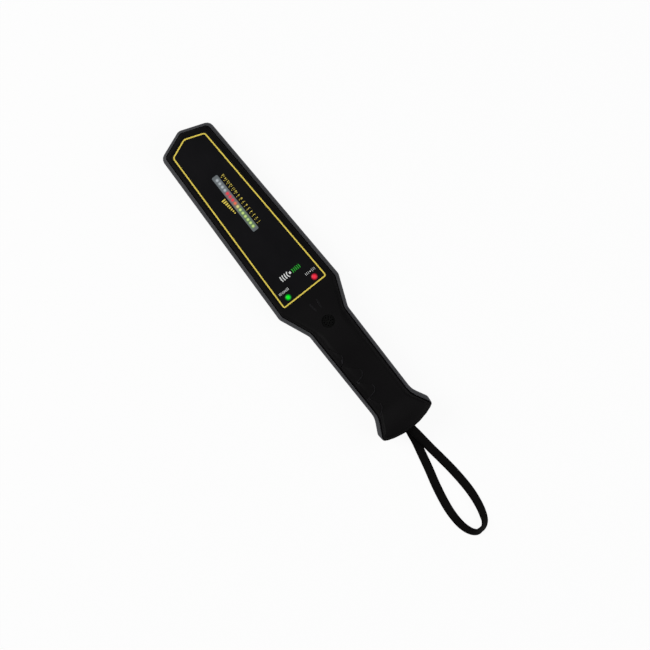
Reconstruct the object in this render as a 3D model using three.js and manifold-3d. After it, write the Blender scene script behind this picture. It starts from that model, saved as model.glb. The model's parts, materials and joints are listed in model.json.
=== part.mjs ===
// Hand-held security metal detector wand, lying on its back with the display face up.
// Units are millimetres. +X runs from the tip of the search head to the butt of the handle,
// +Y is across, +Z is up. The origin is on the floor, midway along the body.
import * as THREE from 'three';
import { mergeVertices } from 'three/addons/utils/BufferGeometryUtils.js';
import Module from 'manifold-3d';

const wasm = await Module();
wasm.setup();

// Plan outline: the length of each stretch from the tip to the butt, and its far end's half width
const tipLength = 12.1;
const shoulderHalf = 33.6;
const headLength = 217.7;
const headEndHalf = 41.2;
const neckLength = 34.7;
const neckHalf = 26.8;
const gripLength = 113.1;
const gripEndHalf = 25.7;
const flareLength = 17;
const flareHalf = 34.6;
const flareEndLength = 10.2;
const buttTaper = 0.8;
const buttLength = 7.2;
const tipRadius = 8;
const shoulderRadius = 8.5;
const headEndRadius = 9;
const neckRadius = 12;
const gripEndRadius = 22;
const flareRadius = 6;
const buttRadius = 5;

// Where the stretches meet, counted from the tip
const shoulderAlong = tipLength;
const headEndAlong = shoulderAlong + headLength;
const neckAlong = headEndAlong + neckLength;
const gripEndAlong = neckAlong + gripLength;
const flareAlong = gripEndAlong + flareLength;
const buttAlong = flareAlong + flareEndLength;
const buttHalf = flareHalf - buttTaper;
const bodyLength = buttAlong + buttLength;
const buttPointShares = [0.66, 0.33, 0];

// Heights of the body
const headHeight = 30;
const gripHeight = 40;
const buttHeight = 44;
const partingHeight = 18;
const neckRampLead = 2.8;
const neckRampTail = 36.5;
const neckRampStart = headEndAlong - neckRampLead;
const neckRampEnd = neckAlong + neckRampTail;
const buttRampLead = 0.6;
const buttRampTail = 2.4;
const buttRampStart = gripEndAlong - buttRampLead;
const buttRampEnd = flareAlong + buttRampTail;

// Moulded shells
const wall = 2.4;
const draft = 0.5;
const clearance = 0.3;
const overrun = 2;

// Reach of the edge trim beyond the shells, for each stretch of the outline
const trimReachTip = 3.2;
const trimReachHead = 4.4;
const trimReachNeck = 4.2;
const trimReachGrip = 3.8;
const trimReachFlare = 4.6;
const trimReachShoulder = 1.4;
const trimHeight = 8.4;
const trimTongueHeight = 2.4;
const trimTongueDepth = 1.5;
const trimEndLead = 0.2;
const trimEndAlong = buttAlong + trimEndLead;
const trimBulgeShare = 0.3;
const trimFlankShare = 0.8;
const trimFlatShare = 0.35;

// Rounding of the shells' top and bottom edges, across and down
const topRoundTip = 2.4;
const topRoundHead = 3;
const topRoundNeck = 5;
const topRoundGrip = 9;
const topRoundFlare = 4.5;
const topRoundShoulder = 7;
const topRoundButt = 6;
const topDropHead = 3;
const topDropGrip = 10;
const topDropButt = 7;
const baseRoundTip = 4;
const baseRoundHead = 5;
const baseRoundNeck = 5.5;
const baseRoundGrip = 6;
const baseRoundFlare = 4.5;
const baseRoundShoulder = 6.5;
const baseRoundButt = 4.5;
const baseDropHead = 5;
const baseDropGrip = 7;
const baseDropButt = 6;

// Printed face label in its recess
const labelTipMargin = 8.8;
const labelShoulderMargin = 5.9;
const labelEndMargin = 6;
const labelSideMargin = 8.7;
const labelEndSideMargin = 10.35;
const labelShoulderAlong = shoulderAlong + labelShoulderMargin;
const labelShoulderHalf = shoulderHalf - labelSideMargin;
const labelEndAlong = headEndAlong - labelEndMargin;
const labelEndHalf = headEndHalf - labelEndSideMargin;
const labelRadius = 3;
const labelThickness = 0.6;
const labelSink = 0.3;

// Signal bar: window strip and the lamps under it
const windowStart = 63.2;
const windowWidth = 7;
const windowRadius = 1;
const windowFlangeReach = 1.8;
const windowFlangeThickness = 1.1;
const barLedCount = 15;
const barLedPitch = 4.51;
const barLedMargin = 5.2;
const barLedFirst = windowStart + barLedMargin;
const windowLength = 2 * barLedMargin + (barLedCount - 1) * barLedPitch;
const barLedLength = 3.2;
const barLedWidth = 5;
const barLedEdge = 0.5;
const barColours = [['ledOff', 4], ['ledRed', 7], ['ledAmber', 9], ['ledGreen', barLedCount]];

// Ready and alert lamps
const lampMargin = 7.6;
const lampAlong = labelEndAlong - lampMargin;
const lampHalf = 18.2;
const lampRadius = 3.4;
const lampFlangeRadius = 4.4;
const lampFlangeThickness = 1;
const lampDome = 0.9;
const lampDomeShares = [[0.86, 0.6], [0.5, 0.9]];
const lampChipSize = 3;
const lampChipHeight = 1.6;

// Two raised marks on the neck
const markGap = 6.6;
const markStart = headEndAlong + markGap;
const markLength = 10.5;
const markWidth = 1.3;
const markRise = 0.5;
const markHalf = 4.1;
const markSplay = 1.5;

// Finger rests on one side of the handle
const restLength = 25;
const restRise = 1;
const restRoot = 0.9;
const restNose = 8;
const restLean = 5;
const restSlant = 2.3;
const restEndShares = [0.417, 0.633, 0.823, 1.014];
const restReachShares = [0.4, 0.12, 0.106, 0.362];
const restFrontShare = 0.72;
const restDropShare = 0.8;
const restRows = 5;
const restColumns = 4;

// Sound outlet on the neck
const grilleGap = 33.9;
const grilleAlong = headEndAlong + grilleGap;
const grilleRadius = 7.3;
const grilleDiscRadius = 5.9;
const grilleThickness = 1.3;
const grilleGroove = 0.7;
const grilleSink = 0.15;
const grilleLedge = 1.4;
const grilleHoleRadius = 0.75;
const grilleOuterRing = 4.6;
const grilleOuterHoles = 10;
const grilleInnerRing = 2.3;
const grilleInnerHoles = 5;
const speakerRadius = 10;
const speakerHeight = 4.2;
const speakerWall = 0.8;
const coneRadius = 8.2;
const coneDepth = 1.6;
const coneThickness = 0.5;
const coneCapShare = 0.33;
const coneRimShare = 0.83;
const magnetRadius = 5.5;
const magnetHeight = 3;

// Case screws, given from the tip and from the centre line
const screwTipAlong = 30;
const screwMidShare = 0.546;
const screwNeckGap = 17.2;
const screwNeckInset = 8.5;
const screwButtGap = 5.6;
const screwButtInset = 16.6;
const screwHeadRadius = 2.7;
const screwHeadHeight = 2;
const screwHeadEdge = 0.6;
const screwShankRadius = 1.3;
const screwTopSkin = 5.5;
const screwTop = headHeight - screwTopSkin;
const screwSeat = 7;
const bossRadius = 3.2;
const bossTopSkin = 1.2;

// Search coil on its former, in the head
const coilEndGap = 2.8;
const coilEndAlong = headEndAlong - coilEndGap;
const coilInset = 10.4;
const formerWidth = 6;
const formerHeight = 8;
const formerSkin = 1;

// Main circuit board
const boardThickness = 1.6;
const mainBoardDepth = 6;
const mainBoardTop = headHeight - mainBoardDepth;
const mainBoardLead = 7.2;
const mainBoardStart = windowStart - mainBoardLead;
const mainBoardTail = 7.2;
const mainBoardEnd = headEndAlong + mainBoardTail;
const mainBoardHalf = 12;
const mainBoardWideLength = 40;
const mainBoardWideStart = mainBoardEnd - mainBoardWideLength;
const mainBoardWideMargin = 4.8;
const mainBoardWideHalf = lampHalf + mainBoardWideMargin;
const postRadius = 2;
const postInset = 4;
const postRearInset = 6;
const postRearHalf = 12;
const chipLead = 26;
const chipAlong = mainBoardWideStart - chipLead;
const chipLength = 12;
const chipWidth = 8;
const chipHeight = 2;
const capacitorRadius = 3.2;
const capacitorHeight = 9;
const capacitorLead = 44;
const capacitorAlong = mainBoardWideStart - capacitorLead;
const capacitorHalf = 5;
const trimmerLead = 10;
const trimmerAlong = mainBoardWideStart - trimmerLead;
const trimmerSize = 8;
const trimmerHeight = 5;
const trimmerSlot = 1;
const coilLeadRadius = 0.9;
const coilLeadHalf = 6;
const coilLeadBend = 4;

// Control board in the handle, with the switch, the button's contact and the motor
const controlBoardGap = 4.5;
const controlBoardLength = 36;
const controlBoardStart = neckAlong + controlBoardGap;
const controlBoardEnd = controlBoardStart + controlBoardLength;
const controlBoardHalf = 12.4;
const controlBoardDepth = 3.8;
const controlBoardBase = partingHeight - controlBoardDepth;
const linkWidth = 12;
const linkThickness = 0.8;
const sideControlsLead = 15;
const sideControlsAlong = controlBoardStart + sideControlsLead;
const sideControlsDepth = 3.8;
const sideControlsHeight = controlBoardBase - sideControlsDepth;
const switchLength = 17;
const switchDepth = 5.2;
const switchBodyHeight = 6.4;
const knobLength = 4;
const knobHeight = 3.8;
const knobProud = 1.6;
const knobTravel = 3.5;
const knobFlangeReach = 3.4;
const knobFlangeHeight = 5.6;
const knobFlangeThickness = 1.2;
const knobGroove = 0.5;
const buttonRadius = 2.7;
const buttonProud = 1.2;
const buttonFlangeReach = 0.7;
const buttonFlangeThickness = 1.2;
const buttonTravel = 1.2;
const buttonDish = 0.5;
const contactSize = 6;
const contactDepth = 3.6;
const contactStemRadius = 1.5;
const contactStemLength = 0.6;

// Vibration motor on its clip
const motorGap = 9;
const motorAlong = sideControlsAlong + motorGap;
const motorRadius = 3;
const motorLength = 12;
const motorStart = -8;
const clipWall = 0.9;
const clipLength = 8;
const clipMouthShare = 0.8;
const weightGap = 0.8;
const weightRadius = 2.9;
const weightLength = 4;
const motorShaftRadius = 0.6;

// Battery, its snap, and the bay
const batteryGap = 18.5;
const batteryFront = controlBoardEnd + batteryGap;
const batteryLength = 46;
const batteryWidth = 26.5;
const batteryDepth = 17.5;
const batteryEdge = 1.5;
const studPitch = 12.7;
const studRadius = 3.2;
const studHeight = 2.4;
const snapWidth = 24;
const snapDepth = 12.6;
const snapThickness = 5.4;
const bayRib = 1.5;
const bayRibHeight = 12;
const bayStopHalf = 9;
const leadRadius = 0.75;
const leadHalf = 4;
const leadLoop = 3;

// Battery door with its hooks and catch
const doorLead = 10.5;
const doorTail = 5.7;
const doorMargin = 0.95;
const doorStart = batteryFront - doorLead;
const doorEnd = batteryFront + batteryLength + doorTail;
const doorHalf = batteryWidth / 2 + doorMargin;
const doorThickness = 2.2;
const doorSink = 0.3;
const doorGap = 0.35;
const hookHalf = 8;
const hookWidth = 6;
const hookReach = 3.2;
const hookThickness = 1.5;
const catchInset = 1.4;
const catchWidth = 9;
const catchThickness = 1.4;
const catchHeight = 6;
const catchNose = 0.5;
const doorGrooves = 4;
const doorGroovePitch = 3;
const doorGrooveWidth = 1.2;
const doorGrooveDepth = 0.6;
const doorGrooveHalf = 8;
const doorGrooveFromEnd = 5;

// Wrist strap and what holds it
const strapAcross = -2.5;
const strapWidth = 8.2;
const strapThickness = 1.6;
const strapFaceShare = 0.8;
const strapEdgeShare = 0.5;
const strapSlotWidth = 12.8;
const strapSlotHeight = 8;
const strapHeight = 11.8;
const anchorLength = 11;
const anchorWidth = 11.8;
const anchorHeight = 5.6;
const anchorEdge = 0.8;
const anchorGap = 4.2;
const anchorFront = bodyLength - anchorGap;
const pinGap = 5.3;
const pinAlong = anchorFront - pinGap;
const pinRadius = 1.5;
const pinBase = 3.8;
const pinTop = 21.6;
const pinBossRadius = 3.2;
const pinBossHeight = 7.4;
const pinBossTop = 19;

// Grip grooves on the underside of the handle, beside the battery door
const gripGrooves = 5;
const gripGrooveLead = 8.5;
const gripGrooveStart = neckAlong + gripGrooveLead;
const gripGroovePitch = 7;
const gripGrooveWidth = 2;
const gripGrooveDepth = 0.7;
const gripGrooveHalf = 10;

// Colours, roughness and metalness of the pieces
const finishes = {
  blackAbs: { color: 0x161617, roughness: 0.5, metalness: 0 },
  greyTrim: { color: 0x5c5d60, roughness: 0.6, metalness: 0 },
  faceLabel: { color: 0x0c0c0d, roughness: 0.3, metalness: 0 },
  window: { color: 0x9fa3a2, roughness: 0.25, metalness: 0 },
  ledOff: { color: 0xb9c0c2, roughness: 0.3, metalness: 0 },
  ledRed: { color: 0xd8262c, roughness: 0.3, metalness: 0 },
  ledAmber: { color: 0xe08a20, roughness: 0.3, metalness: 0 },
  ledGreen: { color: 0x8fce35, roughness: 0.3, metalness: 0 },
  greenLens: { color: 0x1fd43a, roughness: 0.2, metalness: 0 },
  redLens: { color: 0xe0262e, roughness: 0.2, metalness: 0 },
  circuitBoard: { color: 0x1d5a34, roughness: 0.5, metalness: 0 },
  component: { color: 0x1b1b1d, roughness: 0.4, metalness: 0 },
  copper: { color: 0xa8562a, roughness: 0.35, metalness: 0.9 },
  former: { color: 0xd9d6cc, roughness: 0.5, metalness: 0 },
  steel: { color: 0xa9abad, roughness: 0.3, metalness: 1 },
  cone: { color: 0x3a3835, roughness: 0.8, metalness: 0 },
  batteryCan: { color: 0x8d9093, roughness: 0.4, metalness: 0.7 },
  redLead: { color: 0xb3201f, roughness: 0.5, metalness: 0 },
  blackLead: { color: 0x151515, roughness: 0.5, metalness: 0 },
  strapLeather: { color: 0x19191a, roughness: 0.8, metalness: 0 },
};

// Solids: closed meshes go to the boolean kernel and come back
function toSolid(geometry) {
  const bare = geometry.clone();
  bare.deleteAttribute('normal');
  bare.deleteAttribute('uv');
  const merged = mergeVertices(bare);
  return new wasm.Manifold(new wasm.Mesh({
    numProp: 3,
    vertProperties: new Float32Array(merged.attributes.position.array),
    triVerts: new Uint32Array(merged.index.array),
  }));
}

function fromSolid(solid) {
  const mesh = solid.getMesh();
  const geometry = new THREE.BufferGeometry();
  geometry.setAttribute('position', new THREE.BufferAttribute(new Float32Array(mesh.vertProperties), 3));
  geometry.setIndex(new THREE.BufferAttribute(new Uint32Array(mesh.triVerts), 1));
  const flat = geometry.toNonIndexed();
  flat.computeVertexNormals();
  return flat;
}

function join(first, ...others) {
  return others.reduce((sum, other) => sum.add(toSolid(other)), first);
}

function cut(first, ...others) {
  return others.reduce((rest, other) => rest.subtract(toSolid(other)), first);
}

// A closed mesh from points and triangles, turned so that its faces point outwards
function closedBody(points, triangles) {
  let volume = 0;
  const cross = new THREE.Vector3();
  for (const [a, b, c] of triangles) {
    volume += points[a].dot(cross.crossVectors(points[b], points[c]));
  }
  const order = volume < 0 ? triangles.map(([a, b, c]) => [a, c, b]) : triangles;
  const geometry = new THREE.BufferGeometry();
  const positions = new Float32Array(points.flatMap((point) => [point.x, point.y, point.z]));
  geometry.setAttribute('position', new THREE.BufferAttribute(positions, 3));
  geometry.setIndex(order.flat());
  geometry.computeVertexNormals();
  return geometry;
}

function bandBetween(lower, upper, count) {
  const triangles = [];
  for (let i = 0; i < count; i += 1) {
    const next = (i + 1) % count;
    triangles.push([lower + i, lower + next, upper + next], [lower + i, upper + next, upper + i]);
  }
  return triangles;
}

// A loop that is mirrored about the centre line is capped by strips from side to side
function mirroredCap(start, count, facingUp) {
  const half = count / 2;
  const triangles = [];
  const near = (i) => start + i;
  const far = (i) => start + ((count - i) % count);
  for (let i = 0; i < half; i += 1) {
    if (i < half - 1) triangles.push([near(i), near(i + 1), far(i + 1)]);
    if (i > 0) triangles.push([near(i), far(i + 1), far(i)]);
  }
  return facingUp ? triangles : triangles.map(([a, b, c]) => [a, c, b]);
}

function cappedLoft(loops) {
  const count = loops[0].length;
  const triangles = [];
  for (let level = 0; level + 1 < loops.length; level += 1) {
    triangles.push(...bandBetween(level * count, (level + 1) * count, count));
  }
  triangles.push(...mirroredCap(0, count, false));
  triangles.push(...mirroredCap((loops.length - 1) * count, count, true));
  return closedBody(loops.flat(), triangles);
}

function ringLoft(loops) {
  const count = loops[0].length;
  const triangles = [];
  for (let level = 0; level < loops.length; level += 1) {
    const next = (level + 1) % loops.length;
    triangles.push(...bandBetween(level * count, next * count, count));
  }
  return closedBody(loops.flat(), triangles);
}

// A loop that goes out along one line and back along another is capped between the two lines
function bandLoft(loops) {
  const count = loops[0].length;
  const last = (loops.length - 1) * count;
  const triangles = [];
  for (let level = 0; level + 1 < loops.length; level += 1) {
    triangles.push(...bandBetween(level * count, (level + 1) * count, count));
  }
  for (let i = 0; i + 1 < count / 2; i += 1) {
    const back = count - 1 - i;
    triangles.push([i + 1, i, back - 1], [i, back, back - 1]);
    triangles.push([last + i, last + i + 1, last + back - 1], [last + back, last + i, last + back - 1]);
  }
  return closedBody(loops.flat(), triangles);
}

function fannedLoft(loops) {
  const count = loops[0].length;
  const points = loops.flat();
  const triangles = [];
  for (let level = 0; level + 1 < loops.length; level += 1) {
    triangles.push(...bandBetween(level * count, (level + 1) * count, count));
  }
  const last = (loops.length - 1) * count;
  for (let i = 1; i + 1 < count; i += 1) {
    triangles.push([0, i + 1, i], [last, last + i, last + i + 1]);
  }
  return closedBody(points, triangles);
}

// Simple shapes, given by their extents
function block([x0, x1], [y0, y1], [z0, z1]) {
  const geometry = new THREE.BoxGeometry(x1 - x0, y1 - y0, z1 - z0);
  return geometry.translate((x0 + x1) / 2, (y0 + y1) / 2, (z0 + z1) / 2);
}

function upright(radius, [z0, z1], x, y, sides = 16) {
  const geometry = new THREE.CylinderGeometry(radius, radius, z1 - z0, sides);
  return geometry.rotateX(Math.PI / 2).translate(x, y, (z0 + z1) / 2);
}

function acrossRod(radius, [y0, y1], x, z, sides = 16) {
  const geometry = new THREE.CylinderGeometry(radius, radius, y1 - y0, sides);
  return geometry.translate(x, (y0 + y1) / 2, z);
}

function alongRod(radius, [x0, x1], y, z, sides = 16) {
  const geometry = new THREE.CylinderGeometry(radius, radius, x1 - x0, sides);
  return geometry.rotateZ(Math.PI / 2).translate((x0 + x1) / 2, y, z);
}

function turned(profile, sides = 24) {
  const points = profile.map(([radius, height]) => new THREE.Vector2(radius, height));
  return new THREE.LatheGeometry(points, sides).rotateX(Math.PI / 2);
}

function plate(points, [z0, z1]) {
  const shape = new THREE.Shape(points.map((point) => new THREE.Vector2(point.x, point.y)));
  return new THREE.ExtrudeGeometry(shape, { depth: z1 - z0, bevelEnabled: false }).translate(0, 0, z0);
}

function wire(route, radius, sides = 6) {
  const section = new THREE.Shape();
  section.absarc(0, 0, radius, 0, Math.PI * 2);
  const points = section.getPoints(sides).slice(0, sides);
  const path = new THREE.CatmullRomCurve3(route.map(([x, y, z]) => new THREE.Vector3(x, y, z)));
  const steps = route.length * 2;
  const options = { steps, bevelEnabled: false, extrudePath: path };
  return new THREE.ExtrudeGeometry(new THREE.Shape(points), options);
}

// Half of an outline, from the tip to the far end, moved inwards by an inset for each stretch
function halfOutline(corners, insets, divisions) {
  const lines = corners.slice(1).map((corner, i) => {
    const direction = new THREE.Vector2(corner.x - corners[i].x, corner.y - corners[i].y).normalize();
    const inward = new THREE.Vector2(direction.y, -direction.x);
    const start = new THREE.Vector2(corners[i].x, corners[i].y).addScaledVector(inward, insets[i]);
    return { start, direction };
  });
  const axis = { start: new THREE.Vector2(0, 0), direction: new THREE.Vector2(1, 0) };
  const meet = (first, second) => {
    const across = first.direction.cross(second.direction);
    const between = second.start.clone().sub(first.start);
    const reach = between.cross(second.direction) / across;
    return first.start.clone().addScaledVector(first.direction, reach);
  };
  const places = corners.map((corner, i) => {
    if (i === 0) return meet(lines[0], axis);
    if (i === corners.length - 1) return meet(lines[i - 1], axis);
    return meet(lines[i - 1], lines[i]);
  });
  const arcs = corners.map((corner, i) => cornerArc(corner, i, places, lines, insets));
  const half = [];
  arcs.forEach((arc, i) => {
    half.push(...arc);
    if (i === arcs.length - 1) return;
    const from = arc[arc.length - 1];
    const to = arcs[i + 1][0];
    for (let step = 1; step < divisions[i]; step += 1) {
      half.push(from.clone().lerp(to, step / divisions[i]));
    }
  });
  return half;
}

// The rounded corner between two stretches, or the half of one that lies on the centre line
function cornerArc(corner, i, places, lines, insets) {
  const place = places[i];
  if (!corner.steps) return [place];
  const onAxis = i === 0;
  const after = lines[i].direction;
  const before = onAxis ? new THREE.Vector2(-after.x, after.y) : lines[i - 1].direction;
  const turn = Math.atan2(before.cross(after), before.dot(after));
  const inset = onAxis ? insets[0] : (insets[i - 1] + insets[i]) / 2;
  const least = corner.radius / 8;
  const radius = turn < 0 ? Math.max(corner.radius - inset, least) : corner.radius + inset;
  const reach = radius * Math.tan(Math.abs(turn) / 2);
  const side = turn < 0 ? -1 : 1;
  const start = place.clone().addScaledVector(before, -reach);
  const centre = start.clone().add(new THREE.Vector2(-before.y, before.x).multiplyScalar(radius * side));
  const points = [];
  for (let step = 0; step <= corner.steps; step += 1) {
    const share = onAxis ? 0.5 + step / corner.steps / 2 : step / corner.steps;
    points.push(start.clone().rotateAround(centre, turn * share));
  }
  return points;
}

function mirrored(half) {
  const back = half.slice(1, -1).reverse().map((point) => new THREE.Vector2(point.x, -point.y));
  return [...half, ...back];
}

function raised(loop, heightAt) {
  return loop.map((point) => new THREE.Vector3(point.x, point.y, heightAt(point.x)));
}

// The tip's corner lies ahead of its rounding, which reaches the end of the body
const tipVertex = -tipRadius * (Math.hypot(shoulderAlong, shoulderHalf) / shoulderHalf - 1);

// The body's outline, its stretches being tip, head, neck, grip, flare, shoulder, and three at the butt
const bodyCorners = [
  { x: tipVertex, y: 0, radius: tipRadius, steps: 2 },
  { x: shoulderAlong, y: shoulderHalf, radius: shoulderRadius, steps: 3 },
  { x: headEndAlong, y: headEndHalf, radius: headEndRadius, steps: 3 },
  { x: neckAlong, y: neckHalf, radius: neckRadius, steps: 3 },
  { x: gripEndAlong, y: gripEndHalf, radius: gripEndRadius, steps: 3 },
  { x: flareAlong, y: flareHalf, radius: flareRadius, steps: 3 },
  { x: buttAlong, y: buttHalf, radius: buttRadius, steps: 3 },
  ...buttPointShares.map((share) => ({
    x: bodyLength - (bodyLength - buttAlong) * share * share,
    y: buttHalf * share,
    steps: 0,
  })),
];
const bodyDivisions = [1, 2, 3, 6, 2, 1, 1, 1, 1];
const trimReach = [
  trimReachTip, trimReachHead, trimReachNeck, trimReachGrip, trimReachFlare, trimReachShoulder, 0, 0, 0,
];
const topRound = [
  topRoundTip, topRoundHead, topRoundNeck, topRoundGrip, topRoundFlare, topRoundShoulder,
  topRoundButt, topRoundButt, topRoundButt,
];
const baseRound = [
  baseRoundTip, baseRoundHead, baseRoundNeck, baseRoundGrip, baseRoundFlare, baseRoundShoulder,
  baseRoundButt, baseRoundButt, baseRoundButt,
];

function bodyLoop(insets) {
  return mirrored(halfOutline(bodyCorners, insets, bodyDivisions));
}

// A value that changes from head to grip through the neck, and again towards the butt
function alongBody(x, head, grip, butt) {
  const neckShare = THREE.MathUtils.smoothstep(x, neckRampStart, neckRampEnd);
  const buttShare = THREE.MathUtils.smoothstep(x, buttRampStart, buttRampEnd);
  return head + (grip - head) * neckShare + (butt - grip) * buttShare;
}

const topAt = (x) => alongBody(x, headHeight, gripHeight, buttHeight);
const topDropAt = (x) => alongBody(x, topDropHead, topDropGrip, topDropButt);
const baseDropAt = (x) => alongBody(x, baseDropHead, baseDropGrip, baseDropButt);

function topTiltAt(x) {
  const share = (x - neckRampStart) / (neckRampEnd - neckRampStart);
  const slope = ((gripHeight - headHeight) * 6 * share * (1 - share)) / (neckRampEnd - neckRampStart);
  return Math.atan(slope);
}

// Half the outline's width along the grip, and along the head
function outlineHalfAt(x) {
  return THREE.MathUtils.lerp(neckHalf, gripEndHalf, (x - neckAlong) / gripLength);
}

function headHalfAt(x) {
  return THREE.MathUtils.lerp(shoulderHalf, headEndHalf, (x - shoulderAlong) / headLength);
}

// One half of the case, from the parting line to its rounded face: skin moves it inwards
function caseForm({ from, faceAt, dropAt, round, towards, skin, turns }) {
  const levels = [];
  const base = trimReach.map((reach) => reach + skin);
  levels.push(raised(bodyLoop(base), () => from));
  for (const turn of turns) {
    const out = 1 - Math.cos(turn);
    const rise = 1 - Math.sin(turn);
    const insets = base.map((inset, i) => inset + draft + Math.max(round[i] - skin, draft) * out);
    const height = (x) => faceAt(x) - towards * (skin + Math.max(dropAt(x) - skin, draft) * rise);
    levels.push(raised(bodyLoop(insets), height));
  }
  return cappedLoft(levels);
}

const outerTurns = [0, Math.PI / 6, Math.PI / 3, Math.PI / 2];
const innerTurns = [0, Math.PI / 2];

function topForm(skin, from) {
  const turns = skin > 0 ? innerTurns : outerTurns;
  return caseForm({ from, faceAt: topAt, dropAt: topDropAt, round: topRound, towards: 1, skin, turns });
}

function baseForm(skin, from) {
  const turns = skin > 0 ? innerTurns : outerTurns;
  const faceAt = () => 0;
  return caseForm({ from, faceAt, dropAt: baseDropAt, round: baseRound, towards: -1, skin, turns });
}

// The groove round the parting line that the trim's tongue fills
function tongueRing(slack) {
  const low = partingHeight - trimTongueHeight / 2 - slack;
  const high = partingHeight + trimTongueHeight / 2 + slack;
  const outer = bodyLoop(trimReach.map((reach) => reach - overrun));
  const inner = bodyLoop(trimReach.map((reach) => reach + trimTongueDepth + slack));
  const ring = ringLoft([
    raised(outer, () => low),
    raised(inner, () => low),
    raised(inner, () => high),
    raised(outer, () => high),
  ]);
  const beyond = block(
    [trimEndAlong + slack, bodyLength + overrun],
    [-flareHalf - overrun, flareHalf + overrun],
    [low - overrun, high + overrun],
  );
  return cut(toSolid(ring), beyond);
}

const screwHoleRadius = screwShankRadius + clearance;
const seatRadius = bossRadius + screwHeadRadius - screwShankRadius;
const screwMidAlong = shoulderAlong + headLength * screwMidShare;
const screwMidHalf = headHalfAt(screwMidAlong) - coilInset - formerWidth - seatRadius - clearance;
const screwNeckAlong = headEndAlong + screwNeckGap;
const screwNeckHalf = neckHalf - screwNeckInset;
const screwButtAlong = flareAlong - screwButtGap;
const screwButtHalf = flareHalf - screwButtInset;
const screwPlaces = [
  [screwTipAlong, 0],
  [screwMidAlong, screwMidHalf],
  [screwMidAlong, -screwMidHalf],
  [screwNeckAlong, screwNeckHalf],
  [screwNeckAlong, -screwNeckHalf],
  [screwButtAlong, screwButtHalf],
  [screwButtAlong, -screwButtHalf],
];

// The label's outline, or one a little larger for its recess
function labelLoop(outset) {
  const corners = [
    { x: labelTipMargin, y: 0, radius: labelRadius, steps: 2 },
    { x: labelShoulderAlong, y: labelShoulderHalf, radius: labelRadius, steps: 3 },
    { x: labelEndAlong, y: labelEndHalf, radius: labelRadius, steps: 3 },
    { x: labelEndAlong, y: 0, steps: 0 },
  ];
  return mirrored(halfOutline(corners, corners.slice(1).map(() => -outset), [1, 1, 1]));
}

function windowPlate(outset, heights) {
  const corners = [
    { x: windowStart, y: 0, steps: 0 },
    { x: windowStart, y: windowWidth / 2, radius: windowRadius, steps: 2 },
    { x: windowStart + windowLength, y: windowWidth / 2, radius: windowRadius, steps: 2 },
    { x: windowStart + windowLength, y: 0, steps: 0 },
  ];
  return plate(mirrored(halfOutline(corners, [-outset, -outset, -outset], [1, 1, 1])), heights);
}

// The holes that a lens and the strap's pin go into
function lampHole(heights, side) {
  return upright(lampRadius + clearance, heights, lampAlong, side * lampHalf, 20);
}

function pinHole(heights) {
  return upright(pinRadius + clearance, heights, pinAlong, strapAcross, 12);
}

const labelTop = headHeight - labelSink;
const labelBase = labelTop - labelThickness;
const ceiling = headHeight - wall;

// The outer surface of the handle's top, at a place across it, moved out along its normal
function gripSurface(x, across, lift) {
  const flatHalf = outlineHalfAt(x) - trimReachGrip - draft - topRoundGrip;
  const drop = topDropAt(x);
  const beyond = Math.max(Math.abs(across) - flatHalf, 0) / topRoundGrip;
  const turn = Math.asin(Math.min(beyond, 1));
  const normal = new THREE.Vector3(0, Math.sin(turn) * Math.sign(across), Math.cos(turn));
  const point = new THREE.Vector3(x, across, topAt(x) - drop * (1 - Math.cos(turn)));
  return point.addScaledVector(normal, lift);
}

// A raised pad that grows out of the handle's edge and ends in a crisp step
function fingerRest(endShare, reachShare) {
  const end = neckAlong + gripLength * endShare;
  const sideHalf = (x) => outlineHalfAt(x) - trimReachGrip - draft - topRoundGrip * (1 - restDropShare);
  const rows = [];
  for (let row = 0; row <= restRows; row += 1) {
    const share = row / restRows;
    const x = end - restLength * (1 - share);
    const noseShare = Math.max((x - (end - restNose)) / restNose, 0);
    const openShare = Math.min((x - (end - restLength)) / (restLength - restNose), 1);
    const openReach = neckHalf * THREE.MathUtils.lerp(restFrontShare, reachShare, openShare);
    const reach = openReach + restLean * noseShare;
    const lift = restRise * Math.sin((openShare * Math.PI) / 2);
    const line = [];
    for (let column = 0; column <= restColumns; column += 1) {
      const out = column / restColumns;
      const half = THREE.MathUtils.lerp(Math.min(reach, sideHalf(x) - draft), sideHalf(x), out);
      line.push({ x: x - restSlant * noseShare * (1 - out), across: -half, lift });
    }
    rows.push(line);
  }
  const loops = rows.map((line) => [
    ...line.map((spot) => gripSurface(spot.x, spot.across, spot.lift)),
    ...line.slice().reverse().map((spot) => gripSurface(spot.x, spot.across, -restRoot)),
  ]);
  return bandLoft(loops);
}

function grillePlaced(geometry) {
  return geometry.rotateY(-topTiltAt(grilleAlong)).translate(grilleAlong, 0, topAt(grilleAlong));
}

function neckMark(side) {
  const geometry = block(
    [markStart, markStart + markLength],
    [-markWidth / 2, markWidth / 2],
    [-wall / 2, markRise],
  );
  const middle = markStart + markLength / 2;
  const tilt = topTiltAt(middle);
  const across = side * markHalf;
  return geometry
    .translate(-middle, 0, 0)
    .rotateZ((-side * markSplay) / markLength)
    .rotateY(-tilt)
    .translate(middle, across, topAt(middle));
}

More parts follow.
